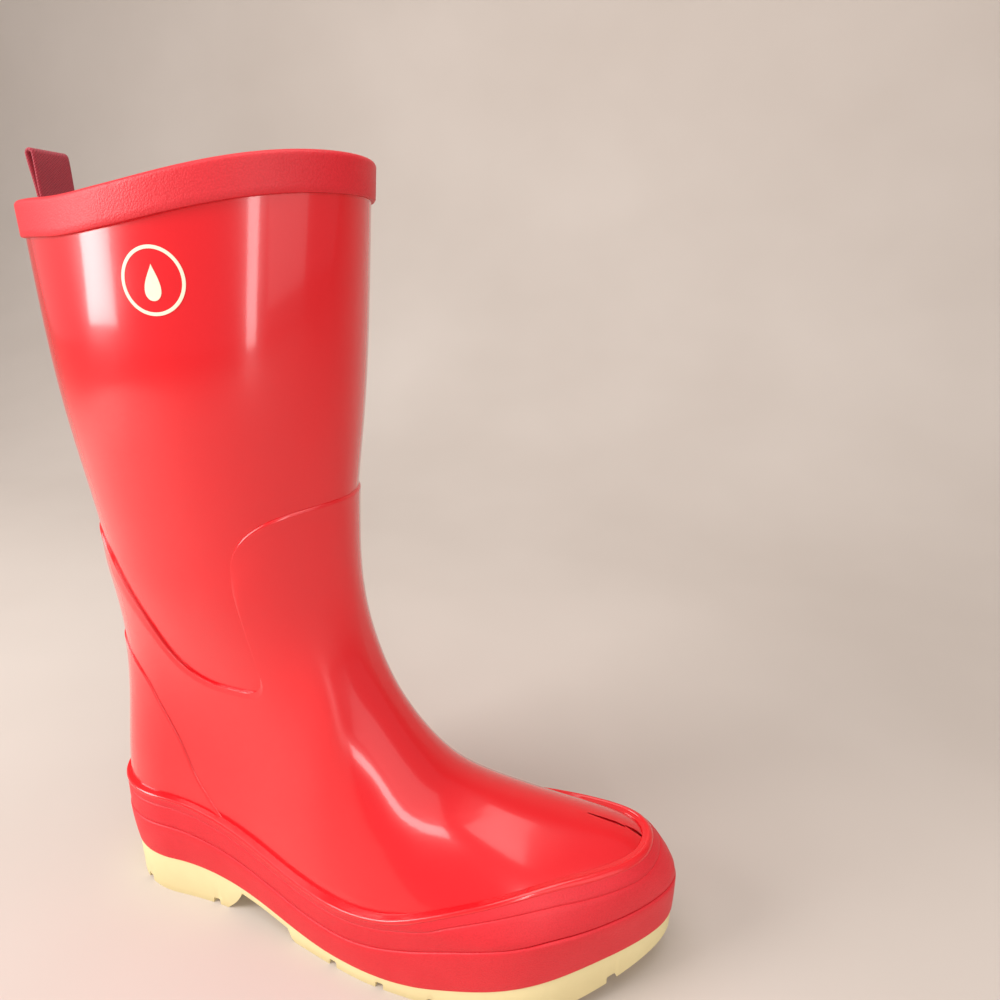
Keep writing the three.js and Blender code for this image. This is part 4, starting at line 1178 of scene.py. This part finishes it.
filler = Finish("filler rubber")
crumbs = filler.noise(500, 5, 0.7)
filler.feed("Base Color", filler.blended(crumbs, (0.06, 0.057, 0.054), (0.15, 0.14, 0.13)))
filler.feed("Roughness", 0.8 + crumbs * 0.15)
filler.raise_by(crumbs, 0.0003)

ink = Finish("cream ink", Coat_Weight=0.2)
screen = ink.noise(900, 2)
ink.feed("Base Color", ink.blended(screen, (0.83, 0.74, 0.56), (0.93, 0.86, 0.68)))
ink.feed("Roughness", 0.3 + screen * 0.2)
ink.raise_by(screen, 0.00004)
print(len(bpy.data.materials), "materials")

# %% [markdown]
# Last, each piece hides the CAD pieces it stands for and is parented to the body it moves with. The strap
# crosses the hinge, so it is given no body and its transform is baked instead. The CAD pieces that stay are
# inside, and each gets its own finish on its object's material slots.

# %% Bodies and slots
def join_frame(piece, finish, slot, body, *nodes):
    piece.data.materials.clear()
    piece.data.materials.append(finish.material)
    if nodes:
        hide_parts(*nodes)
    if body:
        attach(piece, body)


join_frame(leg, gloss, "gloss_red_rubber", "boot", "leg_panel")
join_frame(vamp, gloss, "gloss_red_rubber", "boot", "vamp_panel")
join_frame(counter, gloss, "gloss_red_rubber", "boot", "heel_counter")
join_frame(lip, gloss, "gloss_red_rubber", "boot", "welt_bead")
join_frame(band, pebbled, "pebbled_red_rubber", "boot", "collar_band")
join_frame(upper_strip, pebbled, "pebbled_red_rubber", "boot", "foxing_upper")
join_frame(lower_strip, pebbled, "pebbled_red_rubber", "boot", "foxing_lower")
join_frame(outsole, cream, "cream_rubber", "boot", "outsole")
join_frame(leg_sock, knit, "knit_lining", "boot", "leg_lining")
join_frame(foot_sock, knit, "knit_lining", "boot", "foot_lining")
join_frame(tape, tape_cloth, "lining_cloth", "boot", "lining_seam_tape")
join_frame(patch, tape_cloth, "lining_cloth", "boot", "loop_patch")
join_frame(ring, ink, "cream_ink", "boot", "side_print")
join_frame(drop, ink, "cream_ink", "boot")
join_frame(footbed, foam, "footbed_foam", "footbed", "footbed_foam")
join_frame(footbed_top, footbed_cloth, "lining_cloth", "footbed", "footbed_cover")
join_frame(strap, webbing, "red_webbing", None, "pull_loop", "loop_tails")
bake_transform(strap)

inner_finishes = {
    "fibreboard": fibreboard, "shank_steel": steel, "filler_rubber": filler, "lining_cloth": inner_cloth,
    "gloss_red_rubber": gloss, "pebbled_red_rubber": pebbled, "cream_rubber": cream, "red_webbing": webbing,
    "cream_ink": ink, "knit_lining": inner_cloth, "footbed_foam": foam,
}
slots_of = {part["node"]: part["material_slot"] for part in frame["record"]["subparts"]}
for name, node in frame["nodes"].items():
    for slot in node.material_slots:
        slot.link = "OBJECT"
        slot.material = inner_finishes[slots_of[name]].material
print("CAD pieces still showing:", [name for name, node in frame["nodes"].items() if not node.hide_render])

# %% [markdown]
# The studio: a pale floor that curves up into the wall behind, so no corner shows, with one large soft
# light from the left and front like a window, a weaker one above and a dim one on the right.

# %% Studio
profile = [(-2500, 0), (-1200, 0), (-400, 0), (500, 0)]
profile += [(500 + 700 * math.sin(a), 700 - 700 * math.cos(a)) for a in np.linspace(0.15, math.pi / 2, 12)]
profile += [(1200, 3000)]
widths = np.linspace(-3500, 3500, 9)
sweep_floor = lay_grid("studio_floor", np.array([[(x, y, z) for x in widths] for y, z in profile]), sharp=80)
bpy.context.view_layer.objects.active = sweep_floor
sweep_floor.select_set(True)
bpy.ops.object.mode_set(mode="EDIT")
bpy.ops.mesh.select_all(action="SELECT")
bpy.ops.mesh.flip_normals()
bpy.ops.object.mode_set(mode="OBJECT")
paper = Finish("pale paper")
mottle = paper.noise(3, 3)
paper.feed("Base Color", paper.blended(mottle, (0.54, 0.475, 0.425), (0.66, 0.595, 0.545)))
paper.feed("Roughness", 0.8 + mottle * 0.1)
sweep_floor.data.materials.append(paper.material)


def soft_light(name, place, aim, size, power, colour):
    bpy.ops.object.light_add(type="AREA", location=place)
    light = bpy.context.object
    light.name = name
    light.data.shape = "RECTANGLE"
    light.data.size, light.data.size_y = size
    light.data.energy = power
    light.data.color = colour
    light.rotation_euler = (Vector(aim) - Vector(place)).to_track_quat("-Z", "Y").to_euler()


soft_light("window", (-0.9, -0.7, 0.7), (0.05, 0, 0.2), (0.55, 1.0), 17, (1, 0.97, 0.96))
soft_light("tall_window", (0.75, -1.2, 0.6), (0.05, 0, 0.15), (0.18, 1.1), 5, (1, 0.98, 0.97))
soft_light("ceiling", (0.1, -0.2, 1.6), (0.1, 0, 0), (1.2, 1.2), 12, (1, 0.97, 0.94))
soft_light("fill", (1.4, -0.9, 0.8), (0.1, 0, 0.15), (1, 1.4), 4, (1, 0.94, 0.92))
world = bpy.data.worlds.new("studio")
bpy.context.scene.world = world
world.use_nodes = True
world.node_tree.nodes["Background"].inputs["Color"].default_value = (1, 0.95, 0.91, 1)
world.node_tree.nodes["Background"].inputs["Strength"].default_value = 0.42
bpy.context.scene.view_settings.view_transform = "Standard"
